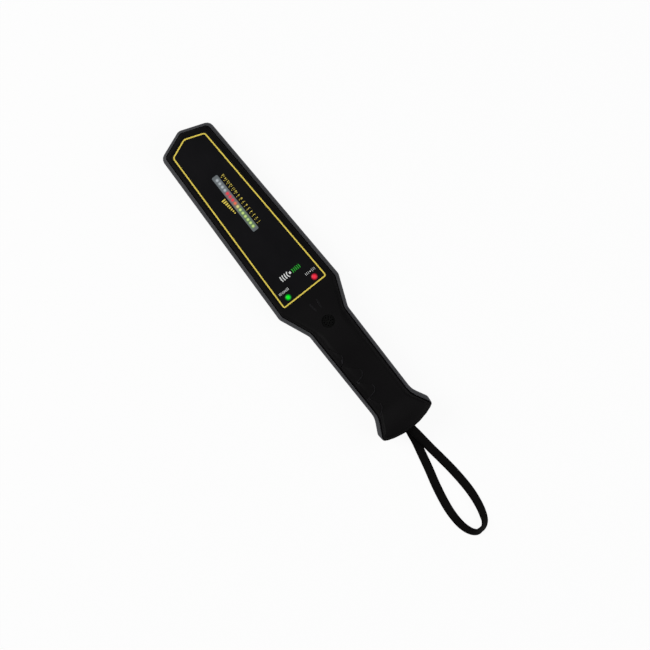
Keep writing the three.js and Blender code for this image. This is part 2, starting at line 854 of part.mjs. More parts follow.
function topShell() {
  const seam = partingHeight + clearance / 2;
  let shell = toSolid(topForm(0, seam)).subtract(toSolid(topForm(wall, seam - overrun)));
  for (const [x, y] of screwPlaces) {
    shell = join(shell, upright(bossRadius, [seam, topAt(x) - bossTopSkin], x, y, 10));
    shell = cut(shell, upright(screwHoleRadius, [seam - overrun, screwTop + clearance], x, y, 8));
  }
  const pinBossEnd = topAt(pinAlong) - bossTopSkin;
  shell = join(shell, upright(pinBossRadius, [pinBossTop, pinBossEnd], pinAlong, strapAcross));
  shell = cut(
    shell,
    pinHole([pinBossTop - overrun, pinTop + clearance]),
    plate(labelLoop(clearance), [labelBase - clearance, headHeight + overrun]),
    windowPlate(clearance, [ceiling - overrun, headHeight + overrun]),
    grillePlaced(upright(grilleRadius, [-grilleThickness - grilleSink - clearance, overrun], 0, 0, 24)),
    grillePlaced(upright(grilleRadius - grilleLedge, [-wall - overrun, overrun], 0, 0, 16)),
  );
  for (const side of [1, -1]) {
    shell = cut(shell, lampHole([ceiling - overrun, headHeight + overrun], side));
    shell = join(shell, neckMark(side));
  }
  restEndShares.forEach((endShare, i) => {
    shell = join(shell, fingerRest(endShare, restReachShares[i]));
  });
  return fromSolid(shell.subtract(tongueRing(clearance)));
}

function bottomShell() {
  const seam = partingHeight - clearance / 2;
  let shell = toSolid(baseForm(0, seam)).subtract(toSolid(baseForm(wall, seam + overrun)));
  for (const [x, y] of screwPlaces) {
    shell = join(shell, upright(seatRadius, [wall / 2, seam], x, y, 12));
    shell = cut(
      shell,
      upright(screwHeadRadius + clearance, [-overrun, screwSeat], x, y, 12),
      upright(screwHoleRadius, [-overrun, seam + overrun], x, y, 8),
    );
  }
  const boardBase = mainBoardTop - boardThickness - clearance;
  shell = join(
    shell,
    upright(postRadius, [wall / 2, boardBase], mainBoardStart + postInset, 0),
    upright(postRadius, [wall / 2, boardBase], mainBoardEnd - postRearInset, postRearHalf),
    upright(postRadius, [wall / 2, boardBase], mainBoardEnd - postRearInset, -postRearHalf),
    upright(postRadius, [wall / 2, controlBoardBase - clearance], controlBoardStart + 2 * postRadius, 0),
    upright(postRadius, [wall / 2, controlBoardBase - clearance], controlBoardEnd - 2 * postRadius, 0),
    upright(pinBossRadius, [wall / 2, pinBossHeight], pinAlong, strapAcross),
  );
  const stopStart = batteryFront + batteryLength + clearance;
  const stopEnd = stopStart + bayRib;
  const ribStart = doorHalf + clearance;
  for (const side of [1, -1]) {
    const span = [side * ribStart, side * (ribStart + bayRib)].sort((a, b) => a - b);
    shell = join(shell, block([batteryFront, stopEnd], span, [wall / 2, bayRibHeight]));
  }
  shell = join(shell, block(
    [stopStart, stopEnd],
    [-doorHalf - bayRib, doorHalf + bayRib],
    [doorSink + doorThickness + clearance, bayRibHeight],
  ));
  shell = cut(
    shell,
    block([doorStart, doorEnd], [-doorHalf, doorHalf], [-overrun, doorSink + doorThickness + clearance]),
    block(
      [stopStart - overrun, stopEnd + overrun],
      [-bayStopHalf, bayStopHalf],
      [bayRibHeight / 2, bayRibHeight + overrun],
    ),
    pinHole([pinBase - clearance, pinBossHeight + overrun]),
    block(
      [anchorFront - clearance, bodyLength + overrun],
      [strapAcross - strapSlotWidth / 2, strapAcross + strapSlotWidth / 2],
      [strapHeight - strapSlotHeight / 2, strapHeight + strapSlotHeight / 2],
    ),
    block(
      [sideControlsAlong - knobLength / 2 - knobTravel - clearance,
        sideControlsAlong + knobLength / 2 + knobTravel + clearance],
      [0, neckHalf + overrun],
      [sideControlsHeight - knobHeight / 2 - clearance, sideControlsHeight + knobHeight / 2 + clearance],
    ),
    acrossRod(buttonRadius + clearance, [-neckHalf - overrun, 0], sideControlsAlong, sideControlsHeight),
  );
  for (let i = 0; i < gripGrooves; i += 1) {
    const x = gripGrooveStart + i * gripGroovePitch;
    const across = [-gripGrooveHalf, gripGrooveHalf];
    shell = cut(shell, block([x, x + gripGrooveWidth], across, [-overrun, gripGrooveDepth]));
  }
  return fromSolid(shell.subtract(tongueRing(clearance)));
}

// The soft edge trim: a bulged band with a tongue that the shells clamp
function sideTrim() {
  const half = trimHeight / 2;
  const tongue = trimTongueHeight / 2;
  const profile = [
    [1, -clearance, -half],
    [trimBulgeShare, 0, -half * trimFlankShare],
    [0, 0, -half * trimFlatShare],
    [0, 0, half * trimFlatShare],
    [trimBulgeShare, 0, half * trimFlankShare],
    [1, -clearance, half],
    [1, -clearance, tongue],
    [1, trimTongueDepth, tongue],
    [1, trimTongueDepth, -tongue],
    [1, -clearance, -tongue],
  ];
  const loops = profile.map(([share, extra, rise]) => {
    const insets = trimReach.map((reach) => reach * share + extra);
    return raised(bodyLoop(insets), () => partingHeight + rise);
  });
  const beyond = block(
    [trimEndAlong, bodyLength + overrun],
    [-flareHalf - overrun, flareHalf + overrun],
    [partingHeight - trimHeight, partingHeight + trimHeight],
  );
  return fromSolid(cut(toSolid(ringLoft(loops)), beyond));
}

function faceLabel() {
  let label = toSolid(plate(labelLoop(0), [labelBase, labelTop]));
  label = cut(label, windowPlate(clearance, [labelBase - overrun, labelTop + overrun]));
  for (const side of [1, -1]) {
    label = cut(label, lampHole([labelBase - overrun, labelTop + overrun], side));
  }
  return fromSolid(label);
}

const flangeTop = ceiling - clearance;

function barWindow() {
  const flangeBase = flangeTop - windowFlangeThickness;
  const strip = toSolid(windowPlate(0, [flangeBase, labelTop]));
  return fromSolid(join(strip, windowPlate(windowFlangeReach, [flangeBase, flangeTop])));
}

function barLed(i) {
  const x = barLedFirst + i * barLedPitch;
  const low = mainBoardTop + clearance;
  const high = flangeTop - windowFlangeThickness - clearance;
  const ring = (reach, height) => [
    [-barLedLength / 2 + reach, -barLedWidth / 2 + reach],
    [barLedLength / 2 - reach, -barLedWidth / 2 + reach],
    [barLedLength / 2 - reach, barLedWidth / 2 - reach],
    [-barLedLength / 2 + reach, barLedWidth / 2 - reach],
  ].map(([dx, dy]) => new THREE.Vector3(x + dx, dy, height));
  return fannedLoft([ring(0, low), ring(0, high - barLedEdge), ring(barLedEdge, high)]);
}

function lampLens() {
  const flangeBase = flangeTop - lampFlangeThickness;
  return turned([
    [0, flangeBase],
    [lampFlangeRadius, flangeBase],
    [lampFlangeRadius, flangeTop],
    [lampRadius, flangeTop],
    [lampRadius, labelTop],
    ...lampDomeShares.map(([out, up]) => [lampRadius * out, labelTop + lampDome * up]),
    [0, labelTop + lampDome],
  ], 16);
}

function lampChip() {
  const half = lampChipSize / 2;
  const low = mainBoardTop + clearance;
  return block([-half, half], [-half, half], [low, low + lampChipHeight]);
}

function grille() {
  const top = -grilleSink;
  const base = top - grilleThickness;
  const outer = grilleRadius - clearance;
  let disc = toSolid(turned([
    [0, base],
    [outer, base],
    [outer, top - grilleGroove],
    [grilleDiscRadius, top - grilleGroove],
    [grilleDiscRadius, top],
    [0, top],
  ], 24));
  const rings = [[grilleOuterRing, grilleOuterHoles], [grilleInnerRing, grilleInnerHoles]];
  for (const [ringRadius, holes] of rings) {
    for (let i = 0; i < holes; i += 1) {
      const angle = (i / holes) * Math.PI * 2;
      const x = Math.cos(angle) * ringRadius;
      const y = Math.sin(angle) * ringRadius;
      disc = cut(disc, upright(grilleHoleRadius, [base - overrun, overrun], x, y, 6));
    }
  }
  return grillePlaced(fromSolid(disc));
}

const speakerTop = -wall - 2 * clearance;

function speakerBasket() {
  return grillePlaced(turned([
    [speakerRadius - speakerWall, speakerTop],
    [coneRadius + clearance, speakerTop],
    [coneRadius + clearance, speakerTop - speakerHeight + speakerWall],
    [magnetRadius / 2, speakerTop - speakerHeight + speakerWall],
    [magnetRadius / 2, speakerTop - speakerHeight],
    [speakerRadius, speakerTop - speakerHeight],
    [speakerRadius, speakerTop - speakerWall],
    [speakerRadius - speakerWall, speakerTop],
  ], 20));
}

function speakerCone() {
  const top = speakerTop - clearance;
  return grillePlaced(turned([
    [0, top - coneDepth],
    [coneRadius * coneCapShare, top - coneDepth],
    [coneRadius * coneRimShare, top - coneThickness],
    [coneRadius, top - coneThickness],
    [coneRadius, top],
    [coneRadius * coneRimShare, top],
    [coneRadius * coneCapShare, top - coneDepth + coneThickness],
    [0, top - coneDepth + 2 * coneThickness],
  ], 16));
}

function speakerMagnet() {
  const top = speakerTop - speakerHeight - clearance;
  return grillePlaced(upright(magnetRadius, [top - magnetHeight, top], 0, 0, 20));
}

function screw() {
  const headTop = screwSeat - clearance;
  const headBase = headTop - screwHeadHeight;
  return turned([
    [0, headBase],
    [screwHeadRadius - screwHeadEdge, headBase],
    [screwHeadRadius, headBase + screwHeadEdge],
    [screwHeadRadius, headTop],
    [screwShankRadius, headTop],
    [screwShankRadius, screwTop - screwShankRadius],
    [0, screwTop],
  ], 10);
}

// Search coil: a racetrack just inside the head's wall
function coilLoop(inset) {
  const half = headHalfAt(coilEndAlong);
  const corners = [
    { x: 0, y: 0, radius: tipRadius, steps: 2 },
    { x: shoulderAlong, y: shoulderHalf, radius: shoulderRadius + inset, steps: 3 },
    { x: coilEndAlong, y: half, radius: headEndRadius + inset, steps: 3 },
    { x: coilEndAlong, y: 0, steps: 0 },
  ];
  return mirrored(halfOutline(corners, [inset, inset, inset], [1, 1, 1]));
}

function coilRing(profile) {
  return ringLoft(profile.map(([inset, height]) => raised(coilLoop(inset), () => height)));
}

const formerBase = wall + clearance;

function coilFormer() {
  const inner = coilInset + formerWidth;
  const web = inner - formerSkin;
  const top = formerBase + formerHeight;
  return coilRing([
    [coilInset, formerBase],
    [inner, formerBase],
    [inner, top],
    [coilInset, top],
    [coilInset, top - formerSkin],
    [web, top - formerSkin],
    [web, formerBase + formerSkin],
    [coilInset, formerBase + formerSkin],
  ]);
}

function searchCoil() {
  const web = coilInset + formerWidth - formerSkin - clearance;
  const low = formerBase + formerSkin + clearance;
  const high = formerBase + formerHeight - formerSkin - clearance;
  const outer = coilInset + clearance;
  return coilRing([[outer, low], [web, low], [web, high], [outer, high]]);
}

function coilLead() {
  const start = coilEndAlong - coilInset - formerWidth - clearance;
  const low = formerBase + formerHeight / 2;
  const top = mainBoardTop - boardThickness - clearance;
  const bend = start - coilLeadBend;
  return wire([
    [start, coilLeadHalf, low],
    [start - coilLeadBend / 2, coilLeadHalf, low],
    [bend, coilLeadHalf, low + coilLeadBend],
    [bend, coilLeadHalf, top - coilLeadBend],
    [bend, coilLeadHalf, top],
  ], coilLeadRadius);
}

function mainBoard() {
  const outline = [
    [mainBoardStart, -mainBoardHalf],
    [mainBoardWideStart, -mainBoardHalf],
    [mainBoardWideStart, -mainBoardWideHalf],
    [mainBoardEnd, -mainBoardWideHalf],
    [mainBoardEnd, mainBoardWideHalf],
    [mainBoardWideStart, mainBoardWideHalf],
    [mainBoardWideStart, mainBoardHalf],
    [mainBoardStart, mainBoardHalf],
  ].map(([x, y]) => new THREE.Vector2(x, y));
  return plate(outline, [mainBoardTop - boardThickness, mainBoardTop]);
}

function controlChip() {
  const top = mainBoardTop - boardThickness - clearance;
  return block(
    [chipAlong - chipLength / 2, chipAlong + chipLength / 2],
    [-chipWidth / 2, chipWidth / 2],
    [top - chipHeight, top],
  );
}

function capacitor(side) {
  const top = mainBoardTop - boardThickness - clearance;
  return upright(capacitorRadius, [top - capacitorHeight, top], capacitorAlong, side * capacitorHalf, 16);
}

function trimmer() {
  const top = mainBoardTop - boardThickness - clearance;
  const half = trimmerSize / 2;
  const low = top - trimmerHeight;
  const body = toSolid(block([trimmerAlong - half, trimmerAlong + half], [-half, half], [low, top]));
  return fromSolid(cut(body, block(
    [trimmerAlong - half / 2, trimmerAlong + half / 2],
    [-trimmerSlot / 2, trimmerSlot / 2],
    [low - overrun, low + trimmerSlot],
  )));
}

function controlBoard() {
  return block(
    [controlBoardStart, controlBoardEnd],
    [-controlBoardHalf, controlBoardHalf],
    [controlBoardBase, controlBoardBase + boardThickness],
  );
}

// Flat cable from the main board down to the control board
function boardLink() {
  const start = mainBoardEnd + clearance;
  const end = controlBoardStart - clearance;
  const high = mainBoardTop - boardThickness / 2;
  const low = controlBoardBase + boardThickness / 2;
  const loops = [];
  const steps = 8;
  for (let i = 0; i <= steps; i += 1) {
    const share = i / steps;
    const x = THREE.MathUtils.lerp(start, end, share);
    const z = THREE.MathUtils.lerp(high, low, THREE.MathUtils.smoothstep(share, 0, 1));
    loops.push([
      new THREE.Vector3(x, -linkWidth / 2, z - linkThickness / 2),
      new THREE.Vector3(x, linkWidth / 2, z - linkThickness / 2),
      new THREE.Vector3(x, linkWidth / 2, z + linkThickness / 2),
      new THREE.Vector3(x, -linkWidth / 2, z + linkThickness / 2),
    ]);
  }
  return fannedLoft(loops);
}

// Places of the side controls, from the handle's wall inwards
const wallOuter = outlineHalfAt(sideControlsAlong) - trimReachGrip - draft;
const wallInner = wallOuter - wall;
const knobFlangeOuter = wallInner - clearance;
const switchFace = knobFlangeOuter - knobFlangeThickness - clearance;

function slideSwitch() {
  return block(
    [sideControlsAlong - switchLength / 2, sideControlsAlong + switchLength / 2],
    [switchFace - switchDepth, switchFace],
    [controlBoardBase - clearance - switchBodyHeight, controlBoardBase - clearance],
  );
}

function switchKnob() {
  const halfHeight = knobHeight / 2;
  const flangeHalf = knobFlangeHeight / 2;
  const reach = knobLength / 2 + knobFlangeReach;
  const stem = block(
    [sideControlsAlong - knobLength / 2, sideControlsAlong + knobLength / 2],
    [knobFlangeOuter - knobFlangeThickness, wallOuter + knobProud],
    [sideControlsHeight - halfHeight, sideControlsHeight + halfHeight],
  );
  const flange = block(
    [sideControlsAlong - reach, sideControlsAlong + reach],
    [knobFlangeOuter - knobFlangeThickness, knobFlangeOuter],
    [sideControlsHeight - flangeHalf, sideControlsHeight + flangeHalf],
  );
  let knob = join(toSolid(stem), flange);
  for (const place of [-1, 0, 1]) {
    const middle = sideControlsAlong + (place * knobLength) / 4;
    knob = cut(knob, block(
      [middle - knobGroove / 2, middle + knobGroove / 2],
      [wallOuter + knobProud - knobGroove, wallOuter + knobProud + overrun],
      [sideControlsHeight - knobHeight, sideControlsHeight + knobHeight],
    ));
  }
  return fromSolid(knob);
}

function sensitivityButton() {
  const face = wallOuter + buttonProud;
  const flange = buttonRadius + buttonFlangeReach;
  const back = knobFlangeOuter - buttonFlangeThickness;
  const lathe = turned([
    [0, back],
    [flange, back],
    [flange, knobFlangeOuter],
    [buttonRadius, knobFlangeOuter],
    [buttonRadius, face - buttonDish / 2],
    [buttonRadius - buttonDish, face],
    [buttonRadius / 2, face - buttonDish / 2],
    [0, face - buttonDish],
  ], 16);
  return lathe.rotateX(Math.PI / 2).translate(sideControlsAlong, 0, sideControlsHeight);
}

function buttonContact() {
  const face = knobFlangeOuter - buttonFlangeThickness - buttonTravel - clearance;
  const half = contactSize / 2;
  const top = controlBoardBase - clearance;
  const body = block(
    [sideControlsAlong - half, sideControlsAlong + half],
    [-face + contactStemLength, -face + contactStemLength + contactDepth],
    [top - contactSize, top],
  );
  const stemSpan = [-face, -face + contactStemLength + contactDepth / 2];
  const stem = acrossRod(contactStemRadius, stemSpan, sideControlsAlong, sideControlsHeight, 10);
  return fromSolid(join(toSolid(body), stem));
}

const clipBase = controlBoardBase + boardThickness + clearance;
const motorHeight = clipBase + clipWall + clearance + motorRadius;

function motorCase() {
  return acrossRod(motorRadius, [motorStart, motorStart + motorLength], motorAlong, motorHeight, 18);
}

function motorClip() {
  const inner = motorRadius + clearance;
  const outer = inner + clipWall;
  const middle = motorStart + motorLength / 2;
  const span = [middle - clipLength / 2, middle + clipLength / 2];
  const through = [span[0] - overrun, span[1] + overrun];
  const mouth = inner * clipMouthShare;
  const clipTop = motorHeight + motorRadius / 2;
  const saddle = block([motorAlong - outer, motorAlong + outer], span, [clipBase, clipTop]);
  return fromSolid(cut(
    toSolid(saddle),
    acrossRod(inner, through, motorAlong, motorHeight, 18),
    block([motorAlong - mouth, motorAlong + mouth], through, [motorHeight, motorHeight + 2 * motorRadius]),
  ));
}

function motorWeight() {
  const shaftStart = motorStart + motorLength + clearance;
  const start = motorStart + motorLength + weightGap;
  const half = toSolid(acrossRod(weightRadius, [start, start + weightLength], motorAlong, motorHeight, 18));
  const upper = block(
    [motorAlong - 2 * weightRadius, motorAlong + 2 * weightRadius],
    [start - overrun, start + weightLength + overrun],
    [motorHeight + motorShaftRadius / 2, motorHeight + 2 * weightRadius],
  );
  return fromSolid(join(
    cut(half, upper),
    acrossRod(motorShaftRadius, [shaftStart, start + weightLength], motorAlong, motorHeight, 8),
  ));
}

// Battery in the bay, resting on the door
const batteryBase = doorSink + doorThickness + clearance;
const batteryMiddle = batteryBase + batteryDepth / 2;

function battery() {
  const loops = [0, 1].map((end) => {
    const x = batteryFront + end * batteryLength;
    const halfY = batteryWidth / 2;
    const halfZ = batteryDepth / 2;
    return [
      [-halfY + batteryEdge, -halfZ], [halfY - batteryEdge, -halfZ],
      [halfY, -halfZ + batteryEdge], [halfY, halfZ - batteryEdge],
      [halfY - batteryEdge, halfZ], [-halfY + batteryEdge, halfZ],
      [-halfY, halfZ - batteryEdge], [-halfY, -halfZ + batteryEdge],
    ].map(([y, z]) => new THREE.Vector3(x, y, batteryMiddle + z));
  });
  const studSpan = [batteryFront - studHeight, batteryFront + batteryEdge];
  const studs = [1, -1].map((side) => alongRod(studRadius, studSpan, (side * studPitch) / 2, batteryMiddle));
  return fromSolid(join(toSolid(fannedLoft(loops)), ...studs));
}

const snapFront = batteryFront - clearance - snapThickness;

function batterySnap() {
  const cap = toSolid(block(
    [snapFront, batteryFront - clearance],
    [-snapWidth / 2, snapWidth / 2],
    [batteryMiddle - snapDepth / 2, batteryMiddle + snapDepth / 2],
  ));
  const sockets = [1, -1].map((side) => alongRod(
    studRadius + clearance,
    [batteryFront - studHeight - 2 * clearance, batteryFront + overrun],
    (side * studPitch) / 2,
    batteryMiddle,
  ));
  return fromSolid(cut(cap, ...sockets));
}

function batteryLead(side) {
  const y = side * leadHalf;
  const boardTop = controlBoardBase + boardThickness + clearance;
  const end = controlBoardEnd - leadLoop;
  return wire([
    [snapFront - clearance, y, batteryMiddle + leadLoop],
    [snapFront - leadLoop / 2, y, batteryMiddle + leadLoop],
    [snapFront - leadLoop, y, batteryMiddle + 2 * leadLoop],
    [controlBoardEnd + leadLoop / 2, y, boardTop + 2 * leadLoop],
    [controlBoardEnd - leadLoop / 2, y, boardTop + 2 * leadLoop],
    [end, y, boardTop + leadLoop],
    [end, y, boardTop],
  ], leadRadius);
}

// Battery door: the plate, two hooks under the floor's edge and a catch at the rear
function batteryDoor() {
  const low = doorSink;
  const high = doorSink + doorThickness;
  const half = doorHalf - doorGap;
  const start = doorStart + doorGap;
  const end = doorEnd - doorGap;
  let door = toSolid(block([start, end], [-half, half], [low, high]));
  const hookLow = high + clearance;
  for (const side of [1, -1]) {
    const span = [side * hookHalf - hookWidth / 2, side * hookHalf + hookWidth / 2];
    door = join(
      door,
      block([start, start + hookThickness], span, [low + doorThickness / 2, hookLow + hookThickness]),
      block([start - hookReach, start + hookThickness], span, [hookLow, hookLow + hookThickness]),
    );
  }
  const catchRear = end - catchInset;
  const catchFront = catchRear - catchThickness;
  const catchSpan = [-catchWidth / 2, catchWidth / 2];
  const noseLow = high + catchHeight / 2;
  door = join(
    door,
    block([catchFront, catchRear], catchSpan, [low + doorThickness / 2, high + catchHeight]),
    block([catchFront, catchRear + catchNose], catchSpan, [noseLow, noseLow + catchThickness]),
  );
  for (let i = 0; i < doorGrooves; i += 1) {
    const x = end - doorGrooveFromEnd - i * doorGroovePitch;
    door = cut(door, block(
      [x - doorGrooveWidth, x], [-doorGrooveHalf, doorGrooveHalf], [low - overrun, low + doorGrooveDepth],
    ));
  }
  return fromSolid(door);
}

// Strap anchor: a folded clip that holds both ends of the strap, on an upright pin
function strapAnchor() {
  const low = strapHeight - anchorHeight / 2;
  const high = strapHeight + anchorHeight / 2;
  const half = anchorWidth / 2;
  const ring = (inset, x) => [
    [-half + inset, low], [half - inset, low], [half, low + inset], [half, high - inset],
    [half - inset, high], [-half + inset, high], [-half, high - inset], [-half, low + inset],
  ].map(([y, z]) => new THREE.Vector3(x, strapAcross + y, z));
  const body = fannedLoft([ring(anchorEdge, anchorFront - anchorLength), ring(anchorEdge, anchorFront)]);
  return fromSolid(cut(
    toSolid(body),
    upright(pinRadius + clearance, [low - overrun, high + overrun], pinAlong, strapAcross, 12),
  ));
}

function strapPin() {
  return upright(pinRadius, [pinBase, pinTop], pinAlong, strapAcross, 12);
}

// Route of the wrist strap from its anchor, out along one leg and back along the other:
// place along the body, place across it, height, and how far the band is rolled, in degrees
const strapRoute = [
  [408.1, -4.0, 10.7, 0],
  [412.5, -4.2, 10.5, 0],
  [417.5, -4.7, 9.0, 2],
  [422.5, -5.4, 5.9, 4],
  [427.5, -6.3, 3.0, 6],
  [433.0, -7.6, 1.6, 8],
  [440.3, -9.4, 1.5, 8],
  [457.7, -13.5, 1.5, 8],
  [479.5, -19.2, 1.6, 9],
  [501.3, -23.4, 2.0, 14],
  [514.4, -24.6, 2.6, 22],
  [527.5, -23.9, 3.4, 34],
  [536.2, -21.5, 3.9, 46],
  [542.5, -18.0, 4.3, 58],
  [546.6, -13.9, 4.5, 66],
  [547.7, -10.3, 4.5, 68],
  [546.2, -6.3, 4.4, 64],
  [541.9, -2.0, 4.1, 54],
  [536.2, 1.0, 3.8, 44],
  [527.5, 3.9, 3.3, 33],
  [514.4, 6.3, 2.6, 22],
  [501.3, 7.1, 2.0, 14],
  [479.5, 6.3, 1.6, 9],
  [457.7, 4.0, 1.5, 8],
  [444.0, 2.2, 1.9, 6],
  [437.5, 1.5, 2.9, 4],
  [431.5, 0.9, 4.9, 2],
  [425.5, 0.3, 7.8, 2],
  [419.5, -0.3, 10.9, 1],
  [413.5, -0.7, 12.7, 0],
  [408.1, -0.9, 12.9, 0],
];
const strapSteps = 62;

function strapBand() {
  const path = new THREE.CatmullRomCurve3(
    strapRoute.map(([x, y, z]) => new THREE.Vector3(x, y, z)), false, 'centripetal',
  );
  const rolls = strapRoute.map((spot) => THREE.MathUtils.degToRad(spot[3]));
  const up = new THREE.Vector3(0, 0, 1);
  const halfWidth = strapWidth / 2;
  const halfThick = strapThickness / 2;
  const section = [[-1, -1], [1, -1], [1, 1], [-1, 1]].flatMap(([wide, thick]) => {
    const side = [wide, thick * strapEdgeShare];
    const face = [wide * strapFaceShare, thick];
    return wide === thick ? [side, face] : [face, side];
  });
  const loops = [];
  for (let i = 0; i <= strapSteps; i += 1) {
    const share = i / strapSteps;
    const place = share * (strapRoute.length - 1);
    const low = Math.min(Math.floor(place), strapRoute.length - 2);
    const roll = THREE.MathUtils.lerp(rolls[low], rolls[low + 1], place - low);
    const centre = path.getPoint(share);
    const tangent = path.getTangent(share);
    const level = new THREE.Vector3().crossVectors(tangent, up).normalize();
    const across = level.clone().applyAxisAngle(tangent, roll);
    const through = new THREE.Vector3().crossVectors(across, tangent).normalize();
    loops.push(section.map(([wide, thick]) => centre.clone()
      .addScaledVector(across, wide * halfWidth)
      .addScaledVector(through, thick * halfThick)));
  }
  return fannedLoft(loops);
}

// The assembly
const group = new THREE.Group();
group.position.set(-bodyLength / 2, 0, 0);

function place(name, geometry, finish, x = 0, y = 0) {
  const mesh = new THREE.Mesh(geometry, new THREE.MeshStandardMaterial(finishes[finish]));
  mesh.name = name;
  mesh.position.set(x, y, 0);
  group.add(mesh);
}

place('top_shell', topShell(), 'blackAbs');
place('bottom_shell', bottomShell(), 'blackAbs');
place('side_trim', sideTrim(), 'greyTrim');
place('face_label', faceLabel(), 'faceLabel');
place('bar_window', barWindow(), 'window');

for (let i = 0; i < barLedCount; i += 1) {
  const colour = barColours.find(([, last]) => i < last)[0];
  place(`bar_led_${String(i + 1).padStart(2, '0')}`, barLed(i), colour);
}

place('ready_lens', lampLens(), 'greenLens', lampAlong, -lampHalf);
place('alert_lens', lampLens(), 'redLens', lampAlong, lampHalf);
place('ready_led', lampChip(), 'ledGreen', lampAlong, -lampHalf);
place('alert_led', lampChip(), 'ledRed', lampAlong, lampHalf);
place('speaker_grille', grille(), 'blackAbs');
place('speaker_basket', speakerBasket(), 'steel');
place('speaker_cone', speakerCone(), 'cone');
place('speaker_magnet', speakerMagnet(), 'steel');
place('coil_former', coilFormer(), 'former');
place('search_coil', searchCoil(), 'copper');
place('coil_lead', coilLead(), 'blackLead');
place('main_board', mainBoard(), 'circuitBoard');
place('control_chip', controlChip(), 'component');
place('capacitor_1', capacitor(1), 'component');
place('capacitor_2', capacitor(-1), 'component');
place('tuning_trimmer', trimmer(), 'former');
place('control_board', controlBoard(), 'circuitBoard');
place('board_link', boardLink(), 'former');
place('switch_body', slideSwitch(), 'steel');
place('switch_knob', switchKnob(), 'blackAbs');
place('sensitivity_button', sensitivityButton(), 'blackAbs');
place('button_contact', buttonContact(), 'component');
place('motor_clip', motorClip(), 'steel');
place('motor_case', motorCase(), 'steel');
place('motor_weight', motorWeight(), 'steel');
place('battery', battery(), 'batteryCan');
place('battery_snap', batterySnap(), 'blackLead');
place('battery_lead_red', batteryLead(1), 'redLead');
place('battery_lead_black', batteryLead(-1), 'blackLead');
place('battery_door', batteryDoor(), 'blackAbs');
screwPlaces.forEach(([x, y], i) => place(`case_screw_${i + 1}`, screw(), 'steel', x, y));
place('strap_pin', strapPin(), 'steel');
place('strap_anchor', strapAnchor(), 'steel');
place('wrist_strap', strapBand(), 'strapLeather');

export default group;
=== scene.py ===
import json
import math

import bmesh
import bpy
from mathutils import Matrix, Vector

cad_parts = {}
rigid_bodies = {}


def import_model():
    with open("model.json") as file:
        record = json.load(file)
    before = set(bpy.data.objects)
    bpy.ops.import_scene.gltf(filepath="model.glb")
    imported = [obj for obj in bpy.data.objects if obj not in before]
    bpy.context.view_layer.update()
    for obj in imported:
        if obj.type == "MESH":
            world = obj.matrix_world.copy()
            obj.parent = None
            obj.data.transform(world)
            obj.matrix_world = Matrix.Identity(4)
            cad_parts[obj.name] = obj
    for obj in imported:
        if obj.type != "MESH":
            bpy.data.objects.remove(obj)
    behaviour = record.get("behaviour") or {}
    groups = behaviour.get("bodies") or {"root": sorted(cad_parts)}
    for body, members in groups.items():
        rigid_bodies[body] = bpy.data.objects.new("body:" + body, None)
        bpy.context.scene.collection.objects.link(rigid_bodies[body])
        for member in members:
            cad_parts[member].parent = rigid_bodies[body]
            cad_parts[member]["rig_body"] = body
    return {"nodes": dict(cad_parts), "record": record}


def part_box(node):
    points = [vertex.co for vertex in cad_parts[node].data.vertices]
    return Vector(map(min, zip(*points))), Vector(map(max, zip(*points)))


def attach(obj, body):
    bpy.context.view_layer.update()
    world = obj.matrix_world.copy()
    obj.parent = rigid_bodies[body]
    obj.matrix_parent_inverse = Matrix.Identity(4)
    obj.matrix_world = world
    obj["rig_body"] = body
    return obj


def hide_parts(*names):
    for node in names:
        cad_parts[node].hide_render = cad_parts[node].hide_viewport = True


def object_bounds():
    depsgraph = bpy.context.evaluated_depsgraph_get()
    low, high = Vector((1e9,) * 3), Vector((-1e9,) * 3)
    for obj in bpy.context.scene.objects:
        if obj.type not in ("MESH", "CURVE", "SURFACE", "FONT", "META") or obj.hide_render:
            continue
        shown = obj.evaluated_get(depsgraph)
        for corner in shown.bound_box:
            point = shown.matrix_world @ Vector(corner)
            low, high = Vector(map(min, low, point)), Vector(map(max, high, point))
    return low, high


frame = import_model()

cadBox = [list(corner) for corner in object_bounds()]
nodes = frame["nodes"]
scene = bpy.context.scene
mm = 0.001

body = {
    "length": 412 * mm,
    "labelTop": 29.7 * mm,
}


def alongBody(along, across, height):  # a place counted from the tip of the head, in mm
    return Vector((along * mm - body["length"] / 2, across * mm, height * mm))


def deselectAll():
    if bpy.context.mode != "OBJECT":
        bpy.ops.object.mode_set(mode="OBJECT")
    bpy.ops.object.select_all(action="DESELECT")


def activate(piece):
    deselectAll()
    piece.select_set(True)
    bpy.context.view_layer.objects.active = piece


def applyPlace(piece):
    activate(piece)
    bpy.ops.object.transform_apply(location=True, rotation=True, scale=True)


def applyModifier(piece, kind, **settings):
    activate(piece)
    modifier = piece.modifiers.new(kind.title(), kind)
    for key, value in settings.items():
        setattr(modifier, key, value)
    bpy.ops.object.modifier_apply(modifier=modifier.name)


def smoothBelow(piece, degrees):
    activate(piece)
    bpy.ops.object.shade_smooth_by_angle(angle=math.radians(degrees))


# Camera: straight above, as in the photo
view = {
    "photoSide": 650,  # pixels
    "pixelSize": 1.09 * mm,
    "turn": math.radians(51.69),  # the body runs down to the right in the picture
    "originPixel": (295.46, 279.62),
    "distance": 6.0,
    "faceHeight": 30 * mm,
}


